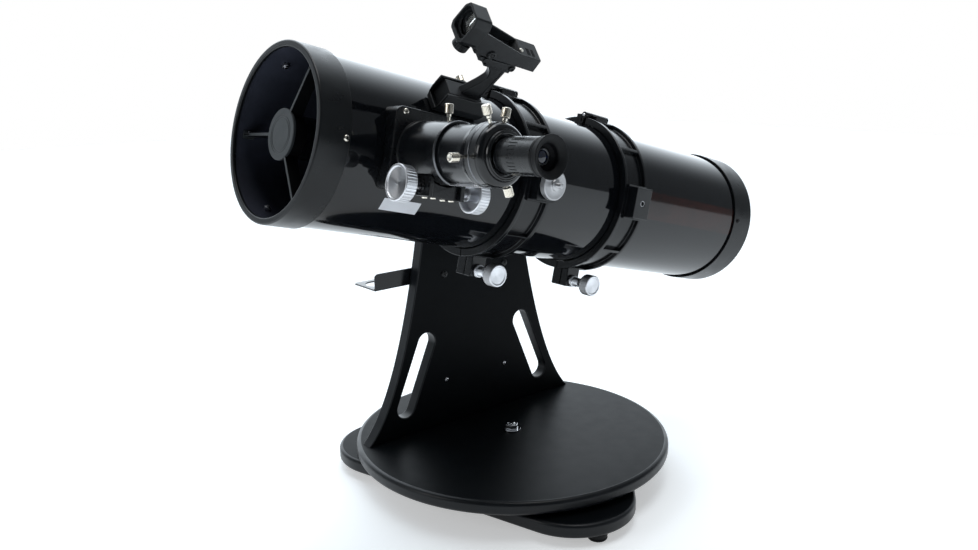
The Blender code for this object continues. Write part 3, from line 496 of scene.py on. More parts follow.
def make_turntable():
    low, edge = DISC_TOP - BOARD, 0.006
    angles = [radians(11.25 * step) for step in range(9)]
    rim = [(0.2194 - edge * (1 - sin(a)), low + edge * (1 - cos(a)), 0) for a in angles]
    rim += [(r, 2 * low + BOARD - z, 0) for r, z, _ in reversed(rim)]
    disc = Shape("turntable_disc", BASE)
    disc.lathe([(0.0062, low)] + rim + [(0.0062, DISC_TOP)], 256, surface=lambda r, z: 1 if r > 0.2135 else 0)
    disc.show([LAMINATE, EDGE], "turntable")

    flank = curve_through((0.188, 0.0), (0.1295, 0.1125), (0.0835, 0.32), 28)
    corner = arc((0.0385, 0.347), 0.045, 0, 90, 16)
    outline = mirrored([(y, DISC_TOP + max(z, GAP)) for y, z in flank + corner])
    top, foot, radius = (0.088, 0.129), (0.126, 0.0416), 0.0145
    lean = degrees(atan2(foot[1] - top[1], foot[0] - top[0]))
    holes = []
    for side in (1, -1):
        slot = arc(top, radius, lean + 90, lean + 270, 24) + arc(foot, radius, lean - 90, lean + 90, 24)
        holes.append([(side * y, DISC_TOP + z) for y, z in slot])
    holes.append(circle(0.0068, 24, (0, CENTRE.z)))
    board = Shape("side_board", BASE)
    board.slab([outline] + holes, SIDE_BACK, SIDE_FACE, "YZ", rim=1, soft=0.0016, steps=4)
    board.show([LAMINATE, EDGE], "turntable")

    back = SIDE_BACK - GAP
    for number, y in enumerate((-0.0546, 0.0546), 1):
        foot = DISC_TOP + GAP
        outline = [
            (back, foot), (back, foot + 0.115), (back - 0.012, foot + 0.115), (back - 0.062, foot + 0.022),
            (back - 0.062, foot)]
        gusset = Shape(f"gusset_{number}", BASE)
        gusset.slab([soften(outline, 0.003, True)], y - BOARD / 2, y + BOARD / 2, "XZ", rim=1, soft=0.0016)
        gusset.show([LAMINATE, EDGE], "turntable")
        screw(
            f"gusset_screw_{number}", BASE @ shift(SIDE_FACE, y, DISC_TOP + 0.0668) @ SIDEWAYS, 0.003,
            0.0012, STEEL, "turntable")
        screw(
            f"rack_screw_{number}", BASE @ shift(SIDE_FACE, y * 1.01, DISC_TOP + 0.2228) @ SIDEWAYS, 0.0052,
            0.0022, CAP, "turntable", "cast_metal")
        screw(
            f"rack_nut_{number}", BASE @ shift(back - 0.002, y * 1.01, DISC_TOP + 0.2238) @ turn(-90, "Y"),
            0.0048, 0.003, STEEL, "turntable")
    make_rack(back)


def make_rack(back):
    foot, top, sheet = DISC_TOP + 0.2115, DISC_TOP + 0.235, 0.002
    low_y, high_y, depth = -0.1575, 0.0825, 0.055
    rack = Shape("eyepiece_rack", BASE)
    corner = 0.006
    upright = [(low_y, foot + 0.001), (high_y, foot + 0.001)]
    upright += arc((high_y - corner, top - corner), corner, 0, 90, 6)
    upright += arc((low_y + corner, top - corner), corner, 90, 180, 6)
    rack.slab([upright], back - sheet, back, "YZ", soft=0.0004, steps=2)
    outer = [
        (back - 0.001, high_y), (back - depth + 0.004, high_y), (back - depth, high_y - 0.004),
        (back - depth, low_y + 0.004), (back - depth + 0.004, low_y), (back - 0.001, low_y)]
    holes = [circle(0.0162, 48, (-0.1275, y)) for y in (-0.135, -0.0375, 0.06)]
    rack.slab([outer] + holes, foot, foot + sheet, "XY", soft=0.0004, steps=2)
    rack.lathe(
        [(0.0, low_y + 0.0002), (0.0019, low_y + 0.0002), (0.0019, high_y - 0.0002), (0, high_y - 0.0002)],
        24, shift(back - 0.002, 0, foot + 0.002) @ turn(-90, "X"), soft=0)
    rack.show(CAST, "turntable")


# --- altitude bearing, dovetail and rings -------------------------------------------------
def make_altitude():
    hub = radial(CRADLE, 0, 180)
    near, far = CENTRE.x - PIVOT.x - SIDE_FACE, CENTRE.x - PIVOT.x - SIDE_BACK
    flange, ring, shank = 0.1388, 0.1411, far + 0.0275
    Shape("altitude_spindle", hub).lathe(
        [(0, flange), (0.03, flange), (0.03, ring - GAP), (0.006, ring - GAP), (0.006, far + 0.01)]
        + thread(0.006, far + 0.01, shank - 0.001, 0.0013, 0.0005) + [(0.0048, shank), (0, shank)],
        96).show(STEEL, "cradle")
    Shape("altitude_washer", hub).lathe(
        [(0.0066, ring), (0.028, ring), (0.028, near - GAP), (0.0066, near - GAP)], 96,
        soft=0.0003).show(NYLON, "cradle")
    low, high = far + GAP, far + 0.024
    knob = Shape("tension_knob", hub)
    knob.lathe([(0.0066, low), (0.015, low), (0.015, low + 0.006), (0.0066, low + 0.006)], 64)
    lobes = []
    for step in range(180):
        angle = radians(2 * step)
        reach = 0.0218 + 0.0022 * cos(6 * angle)
        lobes.append((reach * cos(angle), reach * sin(angle)))
    knob.slab([lobes, circle(0.0066, 48)], low + 0.0058, high, soft=0.003, steps=5)
    knob.lathe(
        [(0.0067, high - 0.004), (0.0095, high - 0.004), (0.0095, high - 0.0002), (0.0067, high - 0.0002)],
        48, surface=1)
    knob.show([PLASTIC, NICKEL], "tension_knob")

    bar_near, bar_far = 0.1128, 0.1278
    bar = Shape("dovetail_bar", hub)
    section = mirrored([(0.018, bar_near), (0.022, bar_far)])
    bar.slab([soften(section, 0.0008, True)], -0.135, 0.095, "XZ", soft=0.0012)
    bar.show(MACHINED, "cradle")
    for number, y in enumerate((-0.131, 0.091), 1):
        screw(f"dovetail_stop_{number}", hub @ shift(0, y, bar_far + 0.0002), 0.0034, 0.0026, STEEL, "cradle")
    clamp = Shape("dovetail_clamp", hub)
    jaw, lip, seat, back = 0.033, 0.117, bar_far + GAP, 0.1385
    section = mirrored([(jaw, back), (jaw, lip), (0.0198, lip), (0.0227, seat)])
    clamp.slab([soften(section, 0.001, True)], -0.04, 0.04, "XZ", soft=0.0012)
    clamp.show(CAST, "cradle")
    start = jaw + GAP
    knob = Shape("clamp_knob", hub @ shift(0, 0, 0.128) @ turn(-90, "Y"))
    knob.lathe(
        [(0, start), (0.0035, start), (0.0035, 0.0385), (0.0095, 0.0392), (0.011, 0.0402),
        (0.011, 0.0404, 0.0004), (0.011, 0.0508, 0.0004), (0.011, 0.051), (0.0098, 0.0528), (0.007, 0.053),
        (0.0066, 0.0522), (0, 0.0522)], 240, teeth=40)
    knob.show(FROSTED, "clamp_knob")


def ring_half(shape, start, end, ribs):
    half, rail, inner, web, outer = 0.0214, 0.0164, 0.0906, 0.0945, 0.0996
    section = [
        (inner, -half), (outer, -half), (outer, -rail), (web, -rail + 0.0006), (web, rail - 0.0006),
        (outer, rail), (outer, half), (inner, half)]
    shape.lathe(section, 80, turn(90, "X"), soft=0.0009, start=start, end=end)
    for angle in ribs:
        at = turn(-angle, "Y")
        shape.block(
            (web - 0.002, -rail - 0.001, -0.0022), (outer - 0.0004, rail + 0.001, 0.0022), at, soft=0.0007)


def make_ring(number, place):
    here = CRADLE @ shift(0, -place, 0)
    near, far = Shape(f"ring_near_{number}", here), Shape(f"ring_far_{number}", here)
    ring_half(near, -85.3, 83.0, (-78, -41, 41, 76))
    ring_half(far, 86.2, 273.8, (103, 139, 221, 258))
    hole = circle(0.0036, 24)
    for shape, spin in ((near, 0), (far, 180)):
        at = turn(spin, "Y")
        plate = rectangle((-0.01435, -0.01915), (0.01435, 0.01915), 0.0012)
        shape.slab([plate, hole], 0.0925, 0.1125, "YZ", at, soft=0.001)
        shape.block((0.0925, -0.0172, -0.0212), (0.1008, 0.0172, 0.0212), at, soft=0.0008)
        shape.lathe(
            [(0.0029, 0.101), (0.0036, 0.101), (0.0036, 0.1122), (0.0029, 0.1122)], 32, at @ SIDEWAYS,
            surface=1, soft=0.0002)
    lug_hole = [(y, z + CLAMP_HEIGHT) for y, z in hole]
    for shape, low, high in ((near, 0.0074, 0.0185), (far, -0.008, 0.0064)):
        plate = rectangle((-0.011, -0.1215), (0.011, -0.0925), 0.0012)
        shape.slab([plate, lug_hole], low, high, "YZ", soft=0.001)

    knuckle, half, outer = 0.0045, 0.0102, 0.0214
    hinge = shift(*HINGE) @ UP_TUBE
    for shape, low, high, left, right in ((near, -half, half, 0.0, 0.0125),
            (far, -outer, -half - GAP, -0.0125, 0.0), (far, half + GAP, outer, -0.0125, 0.0)):
        shape.lathe(
            [(0.0023, -high), (knuckle, -high), (knuckle, -low), (0.0023, -low)], 48, hinge, soft=0.0006)
        shape.block((HINGE[0] + left, low, 0.0925), (HINGE[0] + right, high, HINGE[2] + 0.0015), soft=0.0007)
    near.show([CAST, STEEL], f"ring_near_{number}")
    far.show([CAST, STEEL], "cradle")
    pin = Shape(f"hinge_pin_{number}", here @ hinge)
    pin.lathe(
        [(0, -0.0226), (0.0012, -0.0226), (0.002, -0.0218), (0.002, 0.0218), (0.0012, 0.0226), (0, 0.0226)],
        32)
    pin.show(CHROME, "cradle")

    knob = Shape(f"ring_knob_{number}", here @ shift(z=CLAMP_HEIGHT) @ SIDEWAYS)
    knob.lathe(
        [(0, -0.006)] + thread(0.003, -0.0058, 0.018, 0.001, 0.0004) + [(0.003, 0.0188), (0.0078, 0.0188),
        (0.0078, 0.0228), (0.006, 0.0233), (0.006, 0.034), (0.0072, 0.0372), (0.008, 0.04), (0.009, 0.0425),
        (0.0128, 0.0436), (0.0134, 0.0446, 0.0), (0.0135, 0.045, 0.00022), (0.0135, 0.0556, 0.00022),
        (0.0134, 0.056, 0.0), (0.0126, 0.057), (0.0108, 0.057), (0.0102, 0.0562), (0.004, 0.0558),
        (0.0, 0.0556)], 360, teeth=60, surface=lambda r, z: 1 if r > 0.0133 else 0)
    knob.show([BRIGHT, FROSTED], f"ring_knob_{number}")
    return here


def make_piggyback(here):
    knob = Shape("piggyback_knob", here @ SIDEWAYS)
    knob.lathe(
        [(0, 0.1012), (0.003, 0.1012), (0.003, 0.1129), (0.0085, 0.1129), (0.0085, 0.1152),
        (0.0158, 0.1155), (0.0168, 0.1163, 0.0), (0.017, 0.1166, 0.0003), (0.017, 0.1224, 0.0003),
        (0.0168, 0.1227, 0.0), (0.0158, 0.1233), (0.012, 0.1229), (0.0074, 0.1231), (0.0062, 0.124),
        (0.006, 0.1252), (0.0034, 0.1258)] + thread(0.0032, 0.1262, 0.133, 0.0012, 0.0005) + [(0, 0.1335)],
        432, teeth=72)
    knob.show(FROSTED, "piggyback_knob")


# --- tube, caps and optics ----------------------------------------------------------------
def collimation_places():
    """Where the three knobs pass, across the tube and up."""
    return [(COLLIMATION_REACH * cos(a), COLLIMATION_REACH * sin(a)) for a in map(radians, (0, 120, 240))]


def collimation_holes():
    return [circle(0.0036, 24, (x, -z)) for x, z in collimation_places()]


def make_tube():
    front, rear = 0.38, -0.325
    tube = Shape("tube", TUBE @ UP_TUBE)
    # Gloss paint outside; the inner wall takes the lighter lining colour, which is painted light.
    tube.lathe(
        [(TUBE_INNER, rear), (TUBE_RADIUS, rear), (TUBE_RADIUS, front), (TUBE_INNER, front)], 256, soft=0,
        surface=lambda r, z: 1 if r < TUBE_RADIUS - 1e-5 else 0)
    tube = tube.show([GLOSS, LINING_PAINTED_LIGHT], "ota")
    cutter = Shape("focuser_hole", FOCUSER).rod(0.0312, 0.05, 0.13, soft=0, sides=97)
    carve(tube, cutter)

    sleeve, wide, back, face = TUBE_RADIUS + GAP, 0.0926, 0.3495, 0.3843
    cap = Shape("front_cap", TUBE @ UP_TUBE)
    cap.lathe(
        [(sleeve, back), (wide, back), (wide, face - 0.0012), (wide - 0.0012, face), (0.0864, face),
        (0.0855, face - 0.001), (0.0855, front + GAP), (sleeve, front + GAP)], 256, soft=0.0009)
    cap.show(CAP, "ota")
    rear_front, step = -0.2917, rear - GAP
    cap = Shape("rear_cap", TUBE @ UP_TUBE)
    cap.lathe(
        [(sleeve, rear_front), (sleeve, step), (0.0885, step), (0.0885, REAR_FACE + 0.0022),
        (0.089, REAR_FACE + 0.0004), (wide - 0.0012, REAR_FACE), (wide, REAR_FACE + 0.0012),
        (wide, rear_front)], 256, soft=0.0007)
    cap.slab(
        [circle(0.0888, 240), circle(0.045, 120)] + collimation_holes(), REAR_FACE + 0.0016, step,
        soft=0.0006)
    cap.show(CAP, "ota")
    for number, angle in enumerate((0, 120, 240), 1):
        for end, place in (("front", 0.3546), ("rear", -0.301)):
            at = radial(TUBE, place, angle)
            screw(
                f"cap_screw_{end}_{number}", at @ shift(z=wide - 0.0002), 0.0033, 0.0021,
                NICKEL if end == "front" else CAP, "ota")
        nut = Shape(f"cap_nut_{number}", radial(TUBE, 0.356, angle))
        nut.slab([circle(0.0038, 6)], 0.085, 0.0884, soft=0.0004)
        nut.rod(0.0018, 0.0836, 0.0852, soft=0.0003, sides=20)
        nut.show(STEEL, "ota", slot="steel")


def carve(target, cutter):
    """Cuts a shape out of a shown piece for good, and removes the cutter."""
    tool = cutter.build(cutter.name, BLACK_AND_SHADE)
    cut = target.modifiers.new("cut", "BOOLEAN")
    cut.solver, cut.object = "EXACT", tool
    target.modifiers.move(len(target.modifiers) - 1, 0)
    bpy.context.view_layer.update()
    solid = bpy.data.meshes.new_from_object(target.evaluated_get(bpy.context.evaluated_depsgraph_get()))
    target.modifiers.clear()
    target.data = solid
    bpy.data.objects.remove(tool)


def slanted(shape, radius, low, high, sides=96):
    """A rod along the tube. Each end is a place and a slope, and lies at place + slope * x."""
    ring = [(radius * cos(a), radius * sin(a)) for a in (2 * pi * step / sides for step in range(sides))]
    shape.loft([[(x, -(place + slope * x), z) for x, z in ring] for place, slope in (low, high)])
    return shape


def make_optics():
    back, thick, radius, focal = -0.3005, 0.016, 0.075, 0.75
    bowl = back + thick
    face = [
        (radius * step / 24, bowl + ((radius * step / 24) ** 2 - radius ** 2) / (4 * focal), 0)
        for step in range(24, -1, -1)]
    mirror = Shape("primary_mirror", TUBE @ UP_TUBE)
    mirror.lathe(
        [(0, back), (radius - 0.0006, back), (radius, back + 0.0006), (radius, bowl - 0.0006, 0)] + face,
        192, surface=lambda r, z: 0 if z > back + thick * 0.8 else 1)
    mirror.show([SILVER, LENS], "ota")
    cell = Shape("mirror_cell", TUBE @ UP_TUBE)
    cell.slab([circle(0.08, 240)], -0.3045, back - GAP, soft=0.0005)
    cell.slab([circle(0.08, 240)] + collimation_holes(), -0.31, -0.3044, soft=0.0005)
    cell.show(CAST, "ota")
    start = REAR_FACE - GAP
    for number, (x, z) in enumerate(collimation_places(), 1):
        place = TUBE @ shift(x, 0, z) @ UP_TUBE
        knob = Shape(f"collimation_knob_{number}", place)
        knob.lathe(
            [(0, -0.305), (0.003, -0.305), (0.003, start), (0.007, start), (0.007, start - 0.003),
            (0.0098, start - 0.0038), (0.01, start - 0.0044, 0.0004), (0.01, start - 0.0128, 0.0004),
            (0.0098, start - 0.0132), (0.0086, start - 0.014), (0, start - 0.014)], 216, teeth=36)
        knob.show(FROSTED, f"collimation_knob_{number}")

    hub_back, hub_face, radius = 0.3586, 0.3746, 0.0264
    spider = Shape("spider", TUBE @ UP_TUBE)
    spider.lathe(
        [(0, hub_back), (radius - 0.003, hub_back), (radius - 0.003, hub_face - 0.003),
        (radius, hub_face - 0.003), (radius, hub_face - 0.0006), (radius - 0.0008, hub_face),
        (0.02, hub_face), (0.0197, hub_face - 0.0005), (0.019, hub_face - 0.0005), (0.0187, hub_face),
        (0.0176, hub_face), (0.0173, hub_face - 0.0005), (0.0166, hub_face - 0.0005), (0.0163, hub_face),
        (0, hub_face)], 128, soft=0.0003, surface=lambda r, z: 0 if z > hub_face - 0.0034 else 1)
    # Each vane's sides are flat black as painted shade, and the grey strip along its front edge is painted
    # light.
    for angle in (60, 180, 300):
        at = turn(angle, "Z").inverted()
        vane = [
            (0.0225, hub_back + 0.001), (0.087, hub_back + 0.001), (0.087, hub_face - 0.0025),
            (0.0225, hub_face - 0.0005)]
        spider.slab([soften(vane, 0.0006, True)], -0.0014, 0.0014, "XZ", at, surface=1, soft=0.0006)
        edge = [
            (0.024, hub_face - 0.0012), (0.0866, hub_face - 0.0032), (0.0866, hub_face - 0.0025),
            (0.024, hub_face - 0.0005)]
        spider.slab([edge], -0.0015, 0.0015, "XZ", at, surface=0, soft=0.0002)
        spider.block((0.086, -0.0042, hub_back + 0.0015), (0.0881, 0.0042, hub_face - 0.0015), at, surface=0)
    spider.show([HUB, BLACK_AND_SHADE], "ota")
    for number, angle in enumerate((60, 180, 300), 1):
        screw(
            f"vane_screw_{number}", radial(TUBE, (hub_back + hub_face) / 2, angle) @ shift(0.0026, 0, 0.086)
            @ turn(180, "X"), 0.0022, 0.0012, STEEL, "ota")

    seat = FOCUSER_PLACE + 0.006 + 2 * GAP
    mirror = slanted(Shape("secondary_mirror", TUBE), 0.0235, (FOCUSER_PLACE, 1), (FOCUSER_PLACE + 0.006, 1))
    mirror.show(SILVER, "ota")
    slanted(Shape("secondary_holder", TUBE), 0.0222, (seat, 1), (hub_back - GAP, 0)).show(CAST, "ota")


def on_tube(name, start, end, low, high, surface, slot, steps=24):
    """A thin sheet stuck to the tube, between two places along it and two angles round it."""
    inner, outer = TUBE_RADIUS + SHEET_LIFT, TUBE_RADIUS + SHEET_LIFT + SHEET_THICKNESS
    corners = ((inner, start), (outer, start), (outer, end), (inner, end))
    rows = []
    for step in range(steps + 1):
        a = radians(low + (high - low) * step / steps)
        rows.append([(r * cos(a), -place, r * sin(a)) for r, place in corners])
    sheet = Shape(name, TUBE)
    sheet.loft(rows)
    sheet.show(surface, "ota", slot)


# --- focuser ------------------------------------------------------------------------------
SHAFT_X, SHAFT_Z = 0.0351, 0.138          # the focus shaft's axis


def side_turn(angle):
    """Z square to the focuser: 90 points up, 0 to the tube's front."""
    return turn(-90, "Y") if angle == 90 else turn(-angle, "Z") @ turn(90, "X")


def thumbscrew(name, seat, height, angle, body, depth=0.0022):
    made = Shape(f"{name}", FOCUSER @ shift(z=height) @ side_turn(angle))
    made.lathe(
        [(0, seat - depth), (0.0016, seat - depth), (0.0016, seat + 0.0024), (0.0024, seat + 0.0028),
        (0.0024, seat + 0.0052), (0.0036, seat + 0.0056), (0.0043, seat + 0.0062),
        (0.0043, seat + 0.0065, 0.0004), (0.0043, seat + 0.0142, 0.0004), (0.0042, seat + 0.0145),
        (0.0036, seat + 0.015), (0.0024, seat + 0.015), (0.002, seat + 0.0145), (0, seat + 0.0145)], 132,
        teeth=22, soft=0.0003)
    made.show(NICKEL, body)


def make_focuser():
    saddle = Shape("focuser_base", FOCUSER)
    half_x, half_y, face, corner, edge = 0.041, 0.037, 0.104, 0.0075, 0.0012
    columns = [-half_x + edge * (1 - cos(radians(step * 30))) for step in range(4)]
    columns += [-half_x + corner * (1 - cos(radians(step * 15))) for step in range(3, 7)]
    columns += [-0.03 + 0.004 * step for step in range(8)]
    columns = sorted(set(round(x, 6) for x in columns + [0.0] + [-x for x in columns]))
    sections = []
    for x in columns:
        reach = half_x - abs(x)
        y = half_y - (corner - sqrt(max(0, corner ** 2 - (corner - reach) ** 2)) if reach < corner else 0)
        top = face - (edge - sqrt(max(0, edge ** 2 - (edge - reach) ** 2)) if reach < edge else 0)
        low = sqrt((TUBE_RADIUS + 2 * GAP) ** 2 - x * x)
        rim = [
            (y - edge + edge * cos(t), top - edge + edge * sin(t)) for t in (radians(22.5 * step)
            for step in range(5))]
        ring = [(x, y, low)] + [(x, a, b) for a, b in rim] + [(x, -a, b) for a,
            b in reversed(rim)] + [(x, -y, low)]
        sections.append(ring)
    saddle.loft(sections)
    radius, bore, end = 0.0313, 0.0284, 0.1625
    base = saddle.show(MACHINED, "ota")
    carve(base, Shape("saddle_bore", FOCUSER).lathe([(0, 0.05), (bore, 0.05), (bore, 0.12), (0, 0.12)], 180))
    carve(base, Shape("saddle_slot", FOCUSER).block((0.0, -0.0062, 0.05), (0.0306, 0.0062, 0.12)))
    housing = Shape("focuser_housing", FOCUSER)
    housing.lathe(
        [(bore, face - 0.0012), (radius + 0.0014, face - 0.0012), (radius + 0.0014, face + 0.001),
        (radius, face + 0.002), (radius, end - 0.0014), (radius - 0.0006, end - 0.0004),
        (radius - 0.0012, end), (bore, end)], 180, start=12.5, end=347.5, soft=0.0002, surface=lambda r,
        z: 1 if z > end - 0.0013 and r > radius - 0.0012 else 0)
    housing.show([ANODISED, EDGED], "ota", slot="black_anodised")
    for number, (x, y) in enumerate(((-1, -1), (-1, 1), (1, -1), (1, 1)), 1):
        screw(
            f"saddle_screw_{number}", FOCUSER @ shift(0.036 * x, 0.027 * y, face), 0.0031, 0.0019, NICKEL,
            "ota")

    wide, deep = 0.022, 0.0435
    cover = Shape("pinion_cover", FOCUSER)
    bite = arc((0, 0), radius + GAP, 44, -44, 20)
    outline = [(u, v) for u, v in bite if abs(v) <= wide] + [(deep, -wide), (deep, wide)]
    cover.slab([soften(outline, 0.0015, True)], 0.125, 0.1465, soft=0.0009)
    for side in (-1, 1):
        plate = [(0.0235, side * wide), (deep, side * wide), (deep, side * 0.0165), (0.0262, side * 0.0165)]
        cover.slab([soften(plate, 0.0008, True)], 0.1252, 0.151, soft=0.0008)
        cover.lathe(
            [(0.0034, side * wide - 0.001), (0.0065, side * wide - 0.001), (0.0065, side * wide + 0.001),
            (0.0034, side * wide + 0.001)], 48, shift(SHAFT_X, 0, SHAFT_Z) @ turn(-90, "X"))
    cover.show([MACHINED, ANODISED], "ota")
    for number, (y, z) in enumerate(((-0.011, 0.131), (-0.011, 0.1445), (0.011, 0.131), (0.011, 0.1445)), 1):
        screw(f"pinion_screw_{number}", FOCUSER @ shift(deep, y, z) @ SIDEWAYS, 0.0029, 0.0019, NICKEL, "ota")

    shaft = FOCUSER @ shift(SHAFT_X, 0, SHAFT_Z)
    Shape("focus_shaft", shaft @ UP_TUBE).lathe(
        [(0, -0.0462), (0.003, -0.0462), (0.003, -0.006), (0.005, -0.006), (0.005, 0.006), (0.003, 0.006),
        (0.003, 0.0462), (0, 0.0462)], 48, soft=0.0003).show(STEEL, "focus_knobs")
    rim, inner, outer, web = 0.0178, 0.0384, 0.0514, 0.0465
    for name, at in (("front", UP_TUBE), ("rear", turn(-90, "X"))):
        knob = Shape(f"focus_knob_{name}", shaft @ at)
        knob.lathe(
            [(0, 0.049), (0.006, 0.0491), (0.0148, outer - 0.0014), (0.0153, outer - 0.0004),
            (0.0158, outer), (rim - 0.0008, outer), (rim, outer - 0.0008, 0.0),
            (rim, outer - 0.001, 0.00055), (rim, inner + 0.001, 0.00055), (rim, inner + 0.0008, 0.0),
            (rim - 0.0008, inner), (0.0152, inner), (0.0148, inner + 0.0006), (0.0144, web), (0.0065, web),
            (0.0065, 0.034), (0.0033, 0.034), (0.0033, web), (0, web)], 216, teeth=36, soft=0.0004)
        knob.show(BRIGHT, "focus_knobs")

    tube = Shape("drawtube", FOCUSER)
    tube.lathe([(0.0257, 0.108), (0.028, 0.108), (0.028, 0.2108), (0.0257, 0.2108)], 180, soft=0.0003)
    tube.block((0.0262, -0.005, 0.112), (0.0288, 0.005, 0.1965), surface=1)
    for step in range(52):
        tube.block(
            (0.0286, -0.0048, 0.1127 + step * 0.0016), (0.0298, 0.0048, 0.1135 + step * 0.0016), surface=1,
            soft=0.00015)
    tube.show([ANODISED, STEEL], "drawtube")
    low, high = 0.1975, 0.211
    collar = Shape("drawtube_collar", FOCUSER)
    flare = bend((0.0284, low), (0.029, low + 0.0055), (0.0301, low + 0.0072), 8)
    collar.lathe(
        [(0.0282, low)] + [(*point, 0) for point in flare] + [(0.0301, high - 0.0011),
        (0.0297, high - 0.0003), (0.0293, high), (0.0282, high)], 180, soft=0.0002, surface=lambda r,
        z: 1 if z > high - 0.0012 and r > 0.0292 else 0)
    collar.show([ANODISED, EDGED], "drawtube")
    adapter = Shape("eyepiece_adapter", FOCUSER)
    shoulder = bend((0.0292, 0.2198), (0.0289, 0.2252), (0.024, 0.2262), 10)
    adapter.lathe(
        [(0.0162, 0.2), (0.0254, 0.2), (0.0254, 0.2113), (0.0293, 0.2113), (0.0298, 0.2118),
        (0.0298, 0.219), (0.0296, 0.2193), (0.0293, 0.2194)] + [(*point, 0) for point in shoulder]
        + [(0.0236, 0.2262), (0.0235, 0.2257), (0.0231, 0.2257), (0.0229, 0.227), (0.0225, 0.2283),
        (0.0216, 0.2287), (0.0213, 0.2283), (0.0209, 0.2283), (0.0206, 0.2289), (0.02, 0.2292),
        (0.019, 0.2291), (0.0164, 0.227), (0.0162, 0.226)], 180, soft=0.0002)
    adapter.show(POLISHED, "adapter")
    thumbscrew("focus_lock_screw", 0.0325, 0.142, 84, "focus_lock_screw", 0.0039)
    thumbscrew("collar_screw", 0.033, 0.2072, -12, "collar_screw", 0.0044)
    for number, (seat, angle) in enumerate(((0.0283, 94), (0.0253, -122), (0.0317, 62)), 1):
        thumbscrew(f"adapter_screw_{number}", seat, 0.2163, angle, f"adapter_screw_{number}", seat - 0.0248)
    make_eyepiece()


def make_eyepiece():
    body = Shape("eyepiece_body", FOCUSER)
    # Round the lens, the walls of the eye end take the flat black. This is partly the real blackening and
    # partly painted shade for the deep recess.
    body.lathe(
        [(0, 0.212), (0.0154, 0.212), (0.0158, 0.2124), (0.0158, 0.2295), (0.0162, 0.2295),
        (0.0164, 0.2299), (0.0164, 0.2384), (0.0172, 0.2392), (0.0172, 0.2456), (0.0171, 0.2462, 0.0),
        (0.0172, 0.2466, 0.0006), (0.0172, 0.2556, 0.0006), (0.0171, 0.256, 0.0), (0.0172, 0.2566),
        (0.0172, 0.2628), (0.0171, 0.2632), (0.0171, 0.2636), (0.0172, 0.264), (0.0172, 0.2744),
        (0.0164, 0.2752), (0.0162, 0.2757), (0.0162, 0.28), (0.012, 0.28), (0.0112, 0.277),
        (0.0082, 0.2745), (0.008, 0.2736), (0, 0.2736)], 360, teeth=30, soft=0.0002, surface=lambda r,
        z: 1 if z < 0.2298 and r > 0.015 else 2 if z > 0.2735 and r < 0.0121 else 0)
    body.show([MACHINED, CHROME, BLACK_AND_SHADE], "eyepiece")
    cup = Shape("eyepiece_cup", FOCUSER)
    flare = bend((0.0177, 0.2785), (0.018, 0.282), (0.0193, 0.2846), 6)
    mouth = bend((0.0184, 0.2855), (0.015, 0.2842), (0.0122, 0.2812), 6)
    cup.lathe(
        [(0.0165, 0.2757), (0.0174, 0.2757), (0.0177, 0.2763), (0.0177, 0.2773), (0.0174, 0.2777)]
        + [(*point, 0) for point in flare] + [(0.0194, 0.2851), (0.019, 0.2856)]
        + [(*point, 0) for point in mouth] + [(0.0119, 0.2803), (0.0165, 0.2803)], 160, soft=0.0002)
    cup.show(RUBBER, "eyepiece")
    lens = Shape("eyepiece_lens", FOCUSER)
    dome = [(0.0058 * cos(a), 0.2742 + 0.0012 * sin(a), 0) for a in (radians(9 * step) for step in range(10))]
    lens.lathe(
        [(0, 0.2737), (0.0079, 0.2737), (0.0079, 0.2744), (0.007, 0.2748), (0.0061, 0.2743)] + dome
        + [(0, 0.2754)], 96, soft=0.0001, surface=lambda r, z: 1 if r > 0.006 else 0)
    lens.show([LENS, MACHINED], "eyepiece")


# --- red-dot finder -----------------------------------------------------------------------
def uptube(outline):
    """Turns an outline of places along the tube and heights to the frame's own Y and Z."""
    return [(-place, height) for place, height in outline]


